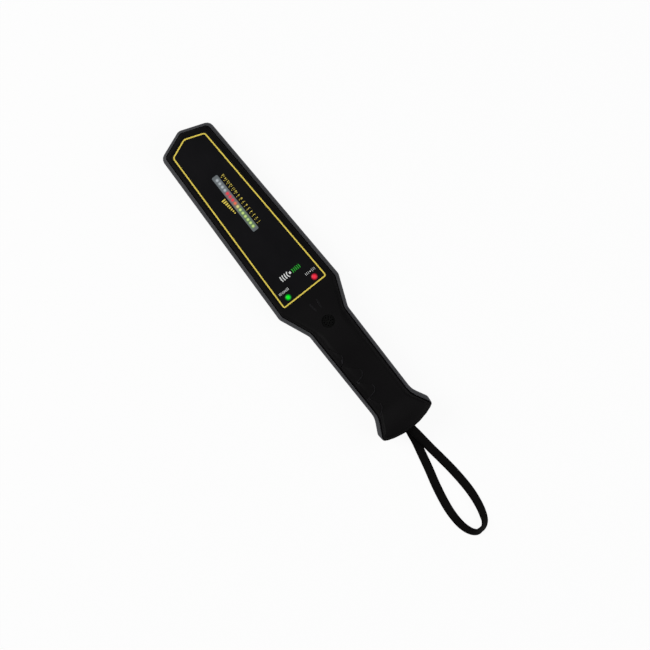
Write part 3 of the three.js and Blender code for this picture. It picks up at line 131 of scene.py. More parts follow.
def makeCamera():
    rightwards = Vector((math.cos(view["turn"]), math.sin(view["turn"]), 0))
    upwards = Vector((-math.sin(view["turn"]), math.cos(view["turn"]), 0))
    middle = view["photoSide"] / 2
    off = (middle - view["originPixel"][0]) * rightwards - (middle - view["originPixel"][1]) * upwards
    place = off * view["pixelSize"]
    place.z = view["faceHeight"] + view["distance"]
    bpy.ops.object.camera_add(location=place, rotation=(0, 0, view["turn"]))
    camera = bpy.context.object
    camera.name = "studioCamera"
    camera.data.lens = camera.data.sensor_width * view["distance"] / (view["photoSide"] * view["pixelSize"])
    scene.camera = camera


makeCamera()
print("camera placed")


# Wrist strap: one flat band whose two ends are held in the anchor
strap = {
    "width": 10.0 * mm,
    "thickness": 1.6 * mm,
    "rings": 300,
    "edgeSteps": 4,
    "faceSteps": 4,
    "smoothAngle": 40,
    "route": [  # along the body, across it, height, all in mm, and the roll of the band in degrees
        (408.1, -3.8, 10.7, 0), (412.5, -3.9, 10.5, 0), (417.5, -4.7, 9.0, 2), (422.5, -5.4, 5.9, 4),
        (427.5, -6.3, 3.0, 6), (433.0, -7.6, 1.6, 8), (440.3, -9.4, 1.6, 8), (457.7, -13.5, 1.6, 8),
        (479.5, -19.2, 1.7, 9), (501.3, -23.4, 2.1, 14), (514.4, -24.6, 2.6, 20), (527.5, -24.1, 3.2, 27),
        (536.2, -22.0, 3.6, 34), (542.6, -18.7, 4.1, 43), (545.8, -14.9, 4.5, 49), (546.3, -10.9, 5.0, 57),
        (545.7, -6.1, 4.9, 58), (541.9, -1.5, 4.5, 48), (536.2, 1.4, 3.7, 35), (527.5, 4.1, 3.1, 27),
        (514.4, 6.3, 2.6, 20), (501.3, 7.1, 2.1, 14), (479.5, 6.3, 1.7, 9), (457.7, 4.0, 1.6, 8),
        (444.0, 2.2, 1.9, 6), (437.5, 1.5, 2.9, 4), (431.5, 0.9, 4.9, 2), (425.5, 0.3, 7.8, 2),
        (419.5, -0.3, 10.9, 1), (413.5, -1.1, 12.7, 0), (408.1, -1.2, 12.9, 0),
    ],
}


def routeSpot(points, place):  # centripetal spline through the points: the spot and its direction
    low = min(int(place), len(points) - 2)
    step = place - low
    start, end = points[low], points[low + 1]
    before = points[low - 1] if low > 0 else 2 * start - end
    after = points[low + 2] if low + 2 < len(points) else 2 * end - start
    gapBefore = (start - before).length ** 0.5
    gap = (end - start).length ** 0.5
    gapAfter = (after - end).length ** 0.5
    leave = (start - before) / gapBefore - (end - before) / (gapBefore + gap) + (end - start) / gap
    arrive = (end - start) / gap - (after - start) / (gap + gapAfter) + (after - end) / gapAfter
    leave, arrive = leave * gap, arrive * gap
    cubic = 2 * start - 2 * end + leave + arrive
    square = -3 * start + 3 * end - 2 * leave - arrive
    spot = ((cubic * step + square) * step + leave) * step + start
    heading = (3 * cubic * step + 2 * square) * step + leave
    return spot, heading.normalized()


def bandSection():  # a flat band with rounded edges, as shares of half its width and half its thickness
    edge = strap["thickness"] / strap["width"]
    half = []
    for step in range(strap["edgeSteps"] + 1):
        turn = math.pi * (step / strap["edgeSteps"] - 0.5)
        half.append((1 - edge + edge * math.cos(turn), math.sin(turn)))
    for step in range(1, strap["faceSteps"]):
        half.append((1 - edge - 2 * (1 - edge) * step / strap["faceSteps"], 1))
    return half + [(-wide, -thick) for wide, thick in half]


def makeStrap():
    points = [alongBody(along, across, height) for along, across, height, roll in strap["route"]]
    rolls = [math.radians(spot[3]) for spot in strap["route"]]
    section = bandSection()
    mesh = bmesh.new()
    layer = mesh.loops.layers.uv.new("band")
    rings, centres, run = [], [], [0.0]
    for ring in range(strap["rings"] + 1):
        place = ring / strap["rings"] * (len(points) - 1)
        low = min(int(place), len(points) - 2)
        roll = rolls[low] + (rolls[low + 1] - rolls[low]) * (place - low)
        centre, heading = routeSpot(points, place)
        across = Matrix.Rotation(roll, 3, heading) @ heading.cross(Vector((0, 0, 1))).normalized()
        through = across.cross(heading).normalized()
        if centres:
            run.append(run[-1] + (centre - centres[-1]).length)
        centres.append(centre)
        across, through = across * strap["width"] / 2, through * strap["thickness"] / 2
        rings.append([mesh.verts.new(centre + across * wide + through * thick) for wide, thick in section])
    count = len(section)
    for ring in range(len(rings) - 1):
        for side in range(count):
            after = (side + 1) % count
            corners = [(ring, side), (ring, after), (ring + 1, after), (ring + 1, side)]
            face = mesh.faces.new([rings[r][s] for r, s in corners])
            for loop, (r, s) in zip(face.loops, corners):
                loop[layer].uv = (section[s][0] * strap["width"] / 2, run[r])  # real metres across and along
    mesh.faces.new(list(reversed(rings[0])))
    mesh.faces.new(rings[-1])
    bmesh.ops.recalc_face_normals(mesh, faces=mesh.faces)
    data = bpy.data.meshes.new("wristStrap")
    mesh.to_mesh(data)
    mesh.free()
    piece = bpy.data.objects.new("wristStrap", data)
    scene.collection.objects.link(piece)
    smoothBelow(piece, strap["smoothAngle"])
    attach(piece, "wand_body")
    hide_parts("wrist_strap")
    print("strap", round(run[-1], 4), "m")
    return piece


wristStrap = makeStrap()


# Materials. A pixel of the photo is 1.09 mm. Patterns that are finer on the object, such as grain, velvet,
# frost, pebbles, wound turns and tracks, are drawn coarser than they are, just enough to show.
def linear(hexColour):  # an sRGB hex value as the linear colour that the shaders take
    parts = [int(hexColour[i:i + 2], 16) / 255 for i in (1, 3, 5)]
    return [part / 12.92 if part <= 0.04045 else ((part + 0.055) / 1.055) ** 2.4 for part in parts] + [1]


def addNode(material, kind, inputs, **settings):
    node = material.node_tree.nodes.new("ShaderNode" + kind)
    for key, value in settings.items():
        setattr(node, key, value)
    for key, value in inputs.items():
        if isinstance(value, bpy.types.NodeSocket):
            material.node_tree.links.new(value, node.inputs[key])
        else:
            node.inputs[key].default_value = value
    return node


def startMaterial(name):
    material = bpy.data.materials.new(name)
    material.use_nodes = True
    material.node_tree.nodes.clear()
    return material


def finishMaterial(material, shader):
    addNode(material, "OutputMaterial", {"Surface": shader.outputs[0]})
    return material


def perMetre(size):  # the scale at which a pattern repeats at a real size
    return 1 / size


def mouldedAbs(name, deep, paleTone):  # ABS, moulded in a spark-eroded tool: matt black with a fine even grain
    material = startMaterial(name)
    coordinates = addNode(material, "TexCoord", {}).outputs
    place = coordinates["Object"]
    upright = addNode(material, "SeparateXYZ", {"Vector": coordinates["Normal"]}).outputs["Z"]
    level = addNode(material, "Math", {0: upright}, operation="ABSOLUTE").outputs[0]
    sheen = addNode(material, "MapRange", {  # the steep side walls are eroded coarser, and have no sheen
        "Value": level, "From Min": 0.35, "From Max": 0.8, "To Min": 0.0, "To Max": 0.06,
    })
    grain = addNode(material, "TexNoise", {"Vector": place, "Scale": perMetre(0.9 * mm), "Detail": 3})
    handling = addNode(material, "TexNoise", {"Vector": place, "Scale": perMetre(38 * mm), "Detail": 4})
    colour = addNode(material, "ValToRGB", {"Fac": handling.outputs["Fac"]})
    colour.color_ramp.elements[0].position = 0.3
    colour.color_ramp.elements[0].color = linear(deep)
    colour.color_ramp.elements[1].position = 0.75
    colour.color_ramp.elements[1].color = linear(paleTone)
    rough = addNode(material, "MapRange", {"Value": handling.outputs["Fac"], "To Min": 0.46, "To Max": 0.56})
    bump = addNode(material, "Bump", {
        "Height": grain.outputs["Fac"], "Strength": 0.35, "Distance": 0.04 * mm,
    })
    shader = addNode(material, "BsdfPrincipled", {
        "Base Color": colour.outputs["Color"], "Roughness": rough.outputs["Result"], "IOR": 1.5,
        "Specular IOR Level": sheen.outputs["Result"], "Normal": bump.outputs["Normal"],
    })
    return finishMaterial(material, shader)


def softTrimPvc():  # plasticised PVC, extruded: matt grey, a little paler where it has been rubbed
    material = startMaterial("softTrimPvc")
    place = addNode(material, "TexCoord", {}).outputs["Object"]
    grain = addNode(material, "TexNoise", {"Vector": place, "Scale": perMetre(0.6 * mm), "Detail": 2})
    rubbing = addNode(material, "TexNoise", {"Vector": place, "Scale": perMetre(22 * mm), "Detail": 5})
    colour = addNode(material, "ValToRGB", {"Fac": rubbing.outputs["Fac"]})
    colour.color_ramp.elements[0].position = 0.25
    colour.color_ramp.elements[0].color = linear("#3c3d3f")
    colour.color_ramp.elements[1].position = 0.8
    colour.color_ramp.elements[1].color = linear("#4c4c50")
    bump = addNode(material, "Bump", {
        "Height": grain.outputs["Fac"], "Strength": 0.3, "Distance": 0.03 * mm,
    })
    shader = addNode(material, "BsdfPrincipled", {
        "Base Color": colour.outputs["Color"], "Roughness": 0.62, "IOR": 1.52,
        "Specular IOR Level": 0.3, "Normal": bump.outputs["Normal"],
    })
    return finishMaterial(material, shader)


def printedFilm():  # polycarbonate film, back-printed black: smooth, its gloss broken by a faint velvet
    material = startMaterial("printedFilm")
    place = addNode(material, "TexCoord", {}).outputs["Object"]
    velvet = addNode(material, "TexNoise", {"Vector": place, "Scale": perMetre(0.7 * mm), "Detail": 2})
    dust = addNode(material, "TexNoise", {"Vector": place, "Scale": perMetre(30 * mm), "Detail": 6})
    rough = addNode(material, "MapRange", {"Value": dust.outputs["Fac"], "To Min": 0.28, "To Max": 0.4})
    colour = addNode(material, "ValToRGB", {"Fac": dust.outputs["Fac"]})
    colour.color_ramp.elements[0].color = linear("#09090b")
    colour.color_ramp.elements[1].color = linear("#0e0d10")
    bump = addNode(material, "Bump", {
        "Height": velvet.outputs["Fac"], "Strength": 0.12, "Distance": 0.02 * mm,
    })
    shader = addNode(material, "BsdfPrincipled", {
        "Base Color": colour.outputs["Color"], "Roughness": rough.outputs["Result"], "IOR": 1.585,
        "Specular IOR Level": 0.12, "Normal": bump.outputs["Normal"],
    })
    return finishMaterial(material, shader)


def screenInk(name, hexColour, paler):  # screen-printed ink: even and slightly satin, with a thin patchiness
    material = startMaterial(name)
    place = addNode(material, "TexCoord", {}).outputs["Object"]
    patches = addNode(material, "TexNoise", {"Vector": place, "Scale": perMetre(1.6 * mm), "Detail": 3})
    colour = addNode(material, "ValToRGB", {"Fac": patches.outputs["Fac"]})
    colour.color_ramp.elements[0].color = linear(hexColour)
    colour.color_ramp.elements[1].color = linear(paler)
    shader = addNode(material, "BsdfPrincipled", {
        "Base Color": colour.outputs["Color"], "Roughness": 0.42, "IOR": 1.5,
    })
    return finishMaterial(material, shader)


bar = {
    "lamps": 15,
    "dotCore": 0.8 * mm,
    "dotEdge": 2.0 * mm,
    "haloEdge": 3.6 * mm,
    "cells": [  # how many lamps have it, the dot over a lamp, and the halo round it
        # the first run is the four unlit lamps: their pale dots and halos are painted highlights
        (4, "#bcc4c9", "#80888c"), (3, "#ff2840", "#c05a60"), (1, "#ff7048", "#bd7a5c"),
        (1, "#f2e888", "#a99a58"), (6, "#d4f088", "#6f9c50"),
    ],
    "glow": 0.75,
}


def boxMiddle(nodeName):
    low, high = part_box(nodeName)
    return (low + high) / 2


def lampSpot(number):
    return boxMiddle(f"bar_led_{number:02d}")


def cellRamp(material, place, column):  # the colours along the bar, one step for each run of like lamps
    ramp = addNode(material, "ValToRGB", {"Fac": place})
    ramp.color_ramp.interpolation = "CONSTANT"
    done = 0
    for step, cell in enumerate(bar["cells"]):
        if step > 1:
            ramp.color_ramp.elements.new(done / bar["lamps"])
        element = ramp.color_ramp.elements[step]
        element.position = done / bar["lamps"]
        element.color = linear(cell[column])
        done += cell[0]
    return ramp.outputs["Color"]


def frostedAcrylic():  # acrylic, moulded with a frosted back, lit as a soft dot by each lamp; its pale veil and the pale dots over the unlit lamps are painted light
    material = startMaterial("frostedAcrylic")
    place = addNode(material, "TexCoord", {}).outputs["Object"]
    parts = addNode(material, "SeparateXYZ", {"Vector": place})
    first, last = lampSpot(1).x, lampSpot(bar["lamps"]).x
    pitch = (last - first) / (bar["lamps"] - 1)
    cell = addNode(material, "MapRange", {
        "Value": parts.outputs["X"], "From Min": first - pitch / 2, "From Max": last + pitch / 2,
        "To Max": bar["lamps"],
    }, clamp=False).outputs["Result"]
    share = addNode(material, "Math", {0: cell, 1: bar["lamps"]}, operation="DIVIDE").outputs[0]
    within = addNode(material, "Math", {0: cell}, operation="FRACT").outputs[0]
    offCentre = addNode(material, "Math", {0: within, 1: 0.5}, operation="SUBTRACT").outputs[0]
    offset = addNode(material, "Math", {0: offCentre, 1: pitch}, operation="MULTIPLY").outputs[0]
    reach = addNode(material, "CombineXYZ", {"X": offset, "Y": parts.outputs["Y"]}).outputs["Vector"]
    away = addNode(material, "VectorMath", {0: reach}, operation="LENGTH").outputs["Value"]
    dot = addNode(material, "MapRange", {
        "Value": away, "From Min": bar["dotCore"], "From Max": bar["dotEdge"], "To Min": 1.0, "To Max": 0.0,
    }, interpolation_type="SMOOTHSTEP").outputs["Result"]
    # 1 along the row of lamps, and 0 past either end of it
    inside = addNode(material, "Math", {0: share, 1: 0.5, 2: 0.5}, operation="COMPARE").outputs[0]
    shown = addNode(material, "Math", {0: dot, 1: inside}, operation="MULTIPLY").outputs[0]
    ring = addNode(material, "MapRange", {
        "Value": away, "From Min": bar["dotCore"], "From Max": bar["haloEdge"], "To Min": 1.0, "To Max": 0.0,
    }).outputs["Result"]
    ringShown = addNode(material, "Math", {0: ring, 1: inside}, operation="MULTIPLY").outputs[0]
    frost = addNode(material, "TexNoise", {"Vector": place, "Scale": perMetre(1.2 * mm), "Detail": 2})
    rough = addNode(material, "MapRange", {"Value": frost.outputs["Fac"], "To Min": 0.35, "To Max": 0.5})
    # the halo round each lamp lies over a pale veil that is a painted glow across the whole window
    paintedVeilAndHalo = addNode(material, "Mix", {
        0: ringShown, 6: linear("#61686b"), 7: cellRamp(material, share, 2),
    }, data_type="RGBA").outputs[2]
    colour = addNode(material, "Mix", {
        0: shown, 6: paintedVeilAndHalo, 7: cellRamp(material, share, 1),
    }, data_type="RGBA").outputs[2]
    shader = addNode(material, "BsdfPrincipled", {
        "Base Color": linear("#2a2c2d"), "Roughness": rough.outputs["Result"], "IOR": 1.49,
        "Transmission Weight": 0.15, "Emission Color": colour, "Emission Strength": bar["glow"],
    })
    return finishMaterial(material, shader)


def castEpoxy(name, hexColour, glow, strength):  # cast epoxy of a lamp: clouded, and lit from its chip; the faint glow of the unlit lamps is painted light
    material = startMaterial(name)
    place = addNode(material, "TexCoord", {}).outputs["Object"]
    cloud = addNode(material, "TexNoise", {"Vector": place, "Scale": perMetre(2.5 * mm), "Detail": 2})
    colour = addNode(material, "ValToRGB", {"Fac": cloud.outputs["Fac"]})
    colour.color_ramp.elements[0].color = linear(hexColour)
    colour.color_ramp.elements[1].color = linear(glow)
    shader = addNode(material, "BsdfPrincipled", {
        "Base Color": colour.outputs["Color"], "Roughness": 0.3, "IOR": 1.54,
        "Emission Color": colour.outputs["Color"], "Emission Strength": strength,
    })
    return finishMaterial(material, shader)


lens = {
    "radius": 3.4 * mm,
    "heartEnd": 0.25,  # shares of the radius, where the pale heart ends and the deep rim starts
    "rimStart": 0.95,
}


def domedAcrylic(name, nodeName, rim, heart, strength):  # tinted acrylic, moulded as a dome: pale at heart
    material = startMaterial(name)
    middle = boxMiddle(nodeName)
    place = addNode(material, "TexCoord", {}).outputs["Object"]
    parts = addNode(material, "SeparateXYZ", {"Vector": place})
    level = addNode(material, "CombineXYZ", {"X": parts.outputs["X"], "Y": parts.outputs["Y"]})
    away = addNode(material, "VectorMath", {
        0: level.outputs["Vector"], 1: (middle.x, middle.y, 0),
    }, operation="DISTANCE").outputs["Value"]
    share = addNode(material, "MapRange", {"Value": away, "From Max": lens["radius"]}).outputs["Result"]
    colour = addNode(material, "ValToRGB", {"Fac": share})
    colour.color_ramp.interpolation = "EASE"
    colour.color_ramp.elements[0].position = lens["heartEnd"]
    colour.color_ramp.elements[0].color = linear(heart)
    colour.color_ramp.elements[1].position = lens["rimStart"]
    colour.color_ramp.elements[1].color = linear(rim)
    shader = addNode(material, "BsdfPrincipled", {
        "Base Color": linear(rim), "Roughness": 0.24, "IOR": 1.49, "Specular IOR Level": 0.18,
        "Emission Color": colour.outputs["Color"], "Emission Strength": strength,
    })
    return finishMaterial(material, shader)


def platedSteel():  # steel, zinc plated and clear passivated: pale grey with a fine crystalline mottle
    material = startMaterial("platedSteel")
    place = addNode(material, "TexCoord", {}).outputs["Object"]
    mottle = addNode(material, "TexVoronoi", {"Vector": place, "Scale": perMetre(0.8 * mm)})
    colour = addNode(material, "ValToRGB", {"Fac": mottle.outputs["Distance"]})
    colour.color_ramp.elements[0].color = linear("#8f9194")
    colour.color_ramp.elements[1].color = linear("#c2c4c6")
    rough = addNode(material, "MapRange", {
        "Value": mottle.outputs["Distance"], "To Min": 0.28, "To Max": 0.42,
    })
    shader = addNode(material, "BsdfPrincipled", {
        "Base Color": colour.outputs["Color"], "Roughness": rough.outputs["Result"], "Metallic": 1.0,
    })
    return finishMaterial(material, shader)


def coatedLeather():  # synthetic leather, embossed and matt: a fine pebbled grain, paler on its crowns
    material = startMaterial("coatedLeather")
    band = addNode(material, "UVMap", {}, uv_map="band").outputs["UV"]
    pebbles = addNode(material, "TexVoronoi", {
        "Vector": band, "Scale": perMetre(0.8 * mm), "Smoothness": 0.6,
    }, feature="SMOOTH_F1")
    bending = addNode(material, "TexNoise", {"Vector": band, "Scale": perMetre(14 * mm), "Detail": 4})
    height = addNode(material, "Math", {0: 1.0, 1: pebbles.outputs["Distance"]}, operation="SUBTRACT")
    tone = addNode(material, "Math", {0: height.outputs[0], 1: bending.outputs["Fac"]}, operation="MULTIPLY")
    colour = addNode(material, "ValToRGB", {"Fac": tone.outputs[0]})
    colour.color_ramp.elements[0].position = 0.15
    colour.color_ramp.elements[0].color = linear("#040303")
    colour.color_ramp.elements[1].position = 0.6
    colour.color_ramp.elements[1].color = linear("#0d0b0a")
    bump = addNode(material, "Bump", {
        "Height": height.outputs[0], "Strength": 0.5, "Distance": 0.1 * mm,
    })
    shader = addNode(material, "BsdfPrincipled", {
        "Base Color": colour.outputs["Color"], "Roughness": 0.62, "IOR": 1.5,
        "Specular IOR Level": 0.06, "Normal": bump.outputs["Normal"],
    })
    return finishMaterial(material, shader)


def naturalNylon():  # nylon, moulded in its natural milky colour
    material = startMaterial("naturalNylon")
    place = addNode(material, "TexCoord", {}).outputs["Object"]
    cloud = addNode(material, "TexNoise", {"Vector": place, "Scale": perMetre(9 * mm), "Detail": 3})
    colour = addNode(material, "ValToRGB", {"Fac": cloud.outputs["Fac"]})
    colour.color_ramp.elements[0].color = linear("#cfcabb")
    colour.color_ramp.elements[1].color = linear("#e2ded2")
    shader = addNode(material, "BsdfPrincipled", {
        "Base Color": colour.outputs["Color"], "Roughness": 0.48, "IOR": 1.53, "Subsurface Weight": 0.1,
        "Subsurface Scale": 1.5 * mm,
    })
    return finishMaterial(material, shader)


def enamelledCopper():  # copper wire, enamelled and wound: close turns of warm red-brown, drawn coarse
    material = startMaterial("enamelledCopper")
    place = addNode(material, "TexCoord", {}).outputs["Object"]
    turns = addNode(material, "TexWave", {
        "Vector": place, "Scale": perMetre(4 * mm), "Distortion": 0.6, "Detail": 1,
    }, bands_direction="Z")
    colour = addNode(material, "ValToRGB", {"Fac": turns.outputs["Fac"]})
    colour.color_ramp.elements[0].color = linear("#6e2c12")
    colour.color_ramp.elements[1].color = linear("#c06a3a")
    bump = addNode(material, "Bump", {"Height": turns.outputs["Fac"], "Strength": 0.6, "Distance": 0.1 * mm})
    shader = addNode(material, "BsdfPrincipled", {
        "Base Color": colour.outputs["Color"], "Roughness": 0.3, "Metallic": 0.85,
        "Normal": bump.outputs["Normal"],
    })
    return finishMaterial(material, shader)


tracks = {  # they run straight through square fields, along the board in one and across it in the next
    "field": 11 * mm,
    "pitch": 1.6 * mm,
    "bareShare": 0.7,
}


def glassEpoxyBoard():  # glass-epoxy laminate under green resist, with the tracks just showing
    material = startMaterial("glassEpoxyBoard")
    place = addNode(material, "TexCoord", {}).outputs["Object"]
    parts = addNode(material, "SeparateXYZ", {"Vector": place})
    fields = addNode(material, "TexVoronoi", {
        "Vector": place, "Scale": perMetre(tracks["field"]),
    }, distance="CHEBYCHEV")
    crosswise = addNode(material, "Math", {0: fields.outputs["Color"], 1: 0.5}, operation="GREATER_THAN")
    level = addNode(material, "Mix", {0: crosswise.outputs[0], 2: parts.outputs["X"], 3: parts.outputs["Y"]})
    lines = addNode(material, "Math", {0: level.outputs[0], 1: tracks["pitch"]}, operation="DIVIDE")
    within = addNode(material, "Math", {0: lines.outputs[0]}, operation="FRACT")
    track = addNode(material, "Math", {
        0: within.outputs[0], 1: tracks["bareShare"],
    }, operation="GREATER_THAN")
    colour = addNode(material, "Mix", {
        0: track.outputs[0], 6: linear("#17512c"), 7: linear("#216237"),
    }, data_type="RGBA")
    shader = addNode(material, "BsdfPrincipled", {
        "Base Color": colour.outputs[2], "Roughness": 0.35, "IOR": 1.55, "Coat Weight": 0.4,
    })
    return finishMaterial(material, shader)


def mouldedEpoxy():  # moulded epoxy of a chip: dark grey, matt, with a fine filler grain
    material = startMaterial("mouldedEpoxy")
    place = addNode(material, "TexCoord", {}).outputs["Object"]
    filler = addNode(material, "TexNoise", {"Vector": place, "Scale": perMetre(0.5 * mm), "Detail": 4})
    colour = addNode(material, "ValToRGB", {"Fac": filler.outputs["Fac"]})
    colour.color_ramp.elements[0].color = linear("#141416")
    colour.color_ramp.elements[1].color = linear("#26262a")
    shader = addNode(material, "BsdfPrincipled", {
        "Base Color": colour.outputs["Color"], "Roughness": 0.55, "IOR": 1.55,
    })
    return finishMaterial(material, shader)


def pvcSleeve(name, hexColour, paler):  # PVC sleeve of a lead: smooth, with a faint drag along it
    material = startMaterial(name)
    place = addNode(material, "TexCoord", {}).outputs["Object"]
    drag = addNode(material, "TexNoise", {"Vector": place, "Scale": perMetre(3 * mm), "Detail": 2})
    colour = addNode(material, "ValToRGB", {"Fac": drag.outputs["Fac"]})
    colour.color_ramp.elements[0].color = linear(hexColour)
    colour.color_ramp.elements[1].color = linear(paler)
    shader = addNode(material, "BsdfPrincipled", {
        "Base Color": colour.outputs["Color"], "Roughness": 0.4, "IOR": 1.53,
    })
    return finishMaterial(material, shader)


def pressedPaper():  # paper pulp, pressed into a cone: charcoal fibres
    material = startMaterial("pressedPaper")
    place = addNode(material, "TexCoord", {}).outputs["Object"]
    fibres = addNode(material, "TexNoise", {
        "Vector": place, "Scale": perMetre(0.8 * mm), "Detail": 6, "Distortion": 1.5,
    })
    colour = addNode(material, "ValToRGB", {"Fac": fibres.outputs["Fac"]})
    colour.color_ramp.elements[0].color = linear("#201e1c")
    colour.color_ramp.elements[1].color = linear("#4a4540")
    bump = addNode(material, "Bump", {
        "Height": fibres.outputs["Fac"], "Strength": 0.5, "Distance": 0.08 * mm,
    })
    shader = addNode(material, "BsdfPrincipled", {
        "Base Color": colour.outputs["Color"], "Roughness": 0.9, "Normal": bump.outputs["Normal"],
    })
    return finishMaterial(material, shader)


can = {
    "bandLength": 14 * mm,
}


def lacqueredCan():  # tinplate can of the battery, lacquered dark with a coppery band at its terminals
    material = startMaterial("lacqueredCan")
    place = addNode(material, "TexCoord", {}).outputs["Object"]
    parts = addNode(material, "SeparateXYZ", {"Vector": place})
    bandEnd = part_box("battery")[0].x + can["bandLength"]
    isBand = addNode(material, "Math", {0: parts.outputs["X"], 1: bandEnd}, operation="LESS_THAN")
    scuffs = addNode(material, "TexNoise", {"Vector": place, "Scale": perMetre(5 * mm), "Detail": 6})
    colour = addNode(material, "Mix", {
        0: isBand.outputs[0], 6: linear("#1d1f22"), 7: linear("#b07a3c"),
    }, data_type="RGBA")
    rough = addNode(material, "MapRange", {"Value": scuffs.outputs["Fac"], "To Min": 0.25, "To Max": 0.45})
    shader = addNode(material, "BsdfPrincipled", {
        "Base Color": colour.outputs[2], "Roughness": rough.outputs["Result"], "Metallic": 0.6,
    })
    return finishMaterial(material, shader)


looks = {
    "abs": mouldedAbs("mouldedAbs", "#0b0a0b", "#0f0e0f"),
    # painted highlight: a paler ABS for the rounded ridge and mark edges, standing for the light they catch
    "paintedHighlightAbs": mouldedAbs("paintedHighlightAbs", "#2a292c", "#38373b"),
    "grille": mouldedAbs("shadedAbs", "#040404", "#060606"),
    "trim": softTrimPvc(),
    "film": printedFilm(),
    "yellowInk": screenInk("yellowInk", "#e0c848", "#eed85c"),
    "whiteInk": screenInk("whiteInk", "#cfd2d0", "#e6e8e6"),
    "greenInk": screenInk("greenInk", "#109a1c", "#22b02c"),
    "window": frostedAcrylic(),
    # the unlit lamps glow faintly: painted light, not light of their own
    "ledOff": castEpoxy("clearEpoxy", "#8f9698", "#b9c0c2", 0.25),
    "ledRed": castEpoxy("redEpoxy", "#d3242c", "#f0525a", 0.7),
    "ledOrange": castEpoxy("orangeEpoxy", "#e0501c", "#f07a4a", 0.7),
    "ledAmber": castEpoxy("amberEpoxy", "#dd9a1c", "#f0d04a", 0.7),
    "ledGreen": castEpoxy("greenEpoxy", "#74b52c", "#a8dc50", 0.7),
    "readyLens": domedAcrylic("greenLensAcrylic", "ready_lens", "#015e14", "#06fa20", 0.88),
    "alertLens": domedAcrylic("redLensAcrylic", "alert_lens", "#801022", "#fa3446", 0.8),
    "steel": platedSteel(),
    "strap": coatedLeather(),
    "nylon": naturalNylon(),
    "copper": enamelledCopper(),
    "board": glassEpoxyBoard(),
    "epoxy": mouldedEpoxy(),
    "redSleeve": pvcSleeve("redSleeve", "#a01c1c", "#bd2a28"),
    "blackSleeve": pvcSleeve("blackSleeve", "#101010", "#1b1b1c"),
    "paper": pressedPaper(),
    "can": lacqueredCan(),
}
slotLooks = {
    "black_abs": "abs", "grey_trim": "trim", "face_label": "film", "window": "window", "led_off": "ledOff",
    "led_red": "ledRed", "led_amber": "ledAmber", "led_green": "ledGreen", "ready_green": "readyLens",
    "alert_red": "alertLens", "circuit_board": "board", "component": "epoxy", "copper_winding": "copper",
    "white_nylon": "nylon", "plated_steel": "steel", "speaker_paper": "paper", "battery_can": "can",
    "red_lead": "redSleeve", "black_lead": "blackSleeve", "strap_webbing": "strap",
}


def dress(piece, look):
    piece.data.materials.clear()
    piece.data.materials.append(looks[look])


nodeSlots = {part["node"]: part["material_slot"] for part in frame["record"]["subparts"]}
for name, node in nodes.items():
    dress(node, slotLooks[nodeSlots[name]])
dress(nodes["bar_led_08"], "ledOrange")  # the one orange lamp of the bar
dress(nodes["speaker_grille"], "grille")  # the outlet lies deep, in the shell's shade
dress(wristStrap, "strap")
print("materials ready")


# Pieces refined from the frame: real edges and even shading
refining = {
    "weld": 0.002 * mm,
    "flatAngle": math.radians(0.6),
    "edgeMargin": 5,  # degrees past the smooth angle, from where an edge gets its radius
    "edgeSegments": 2,
    "faceWeight": 60,
}
refinements = {  # edge radius in mm, and the angle below which a form is shaded smooth
    "top_shell": (0.35, 42),
    "bottom_shell": (0.35, 42),
    "side_trim": (0.25, 75),
    "face_label": (0.1, 35),
    "bar_window": (0.25, 35),
    "ready_lens": (0.1, 45),
    "alert_lens": (0.1, 45),
    "speaker_grille": (0.15, 35),
    "battery_door": (0.3, 35),
    "switch_knob": (0.2, 35),
    "sensitivity_button": (0.15, 40),
    "strap_anchor": (0.3, 40),
    "battery": (0.4, 50),
    "battery_snap": (0.5, 40),
    "battery_lead_red": (0.05, 60),
    "battery_lead_black": (0.05, 60),
    "speaker_basket": (0.15, 40),
    "speaker_magnet": (0.15, 40),
    "motor_case": (0.1, 40),
    "motor_weight": (0.05, 40),
    "capacitor_1": (0.1, 40),
    "capacitor_2": (0.1, 40),
    "search_coil": (0.2, 40),
    "strap_pin": (0.1, 40),
}
paintedHighlightEdges = {  # where the shell's crisp edges are made round, and pale as a painted highlight
    "shell": "top_shell",
    "angle": math.radians(40),
    "fields": [  # along, across and height in mm, and the radius of the edge in mm
        ((232, 253), (-8, 8), (20, 45), 0.22),
        ((303, 313), (-19, -4), (27, 45), 0.35), ((327, 337), (-19, -4), (27, 45), 0.35),
        ((348.5, 358.5), (-19, -4), (27, 45), 0.35), ((370, 380), (-19, -4), (27, 45), 0.35),
    ],
}


def bevelWithPaintedHighlight(piece):
    # the rounded edges take the pale ABS, a painted highlight
    piece.data.materials.append(looks["paintedHighlightAbs"])
    mesh = bmesh.new()
    mesh.from_mesh(piece.data)
    for along, across, height, radius in paintedHighlightEdges["fields"]:
        crisp = []
        for edge in mesh.edges:
            middle = (edge.verts[0].co + edge.verts[1].co) / (2 * mm)
            place = (middle.x + body["length"] / (2 * mm), middle.y, middle.z)
            held = all(low < value < high for value, (low, high) in zip(place, (along, across, height)))
            if held and len(edge.link_faces) == 2 and edge.calc_face_angle_signed() > paintedHighlightEdges["angle"]:
                crisp.append(edge)
        bmesh.ops.bevel(
            mesh, geom=crisp, offset=radius * mm, segments=refining["edgeSegments"], profile=0.5,
            affect="EDGES", clamp_overlap=False, material=len(piece.data.materials) - 1,
        )
    mesh.to_mesh(piece.data)
    mesh.free()


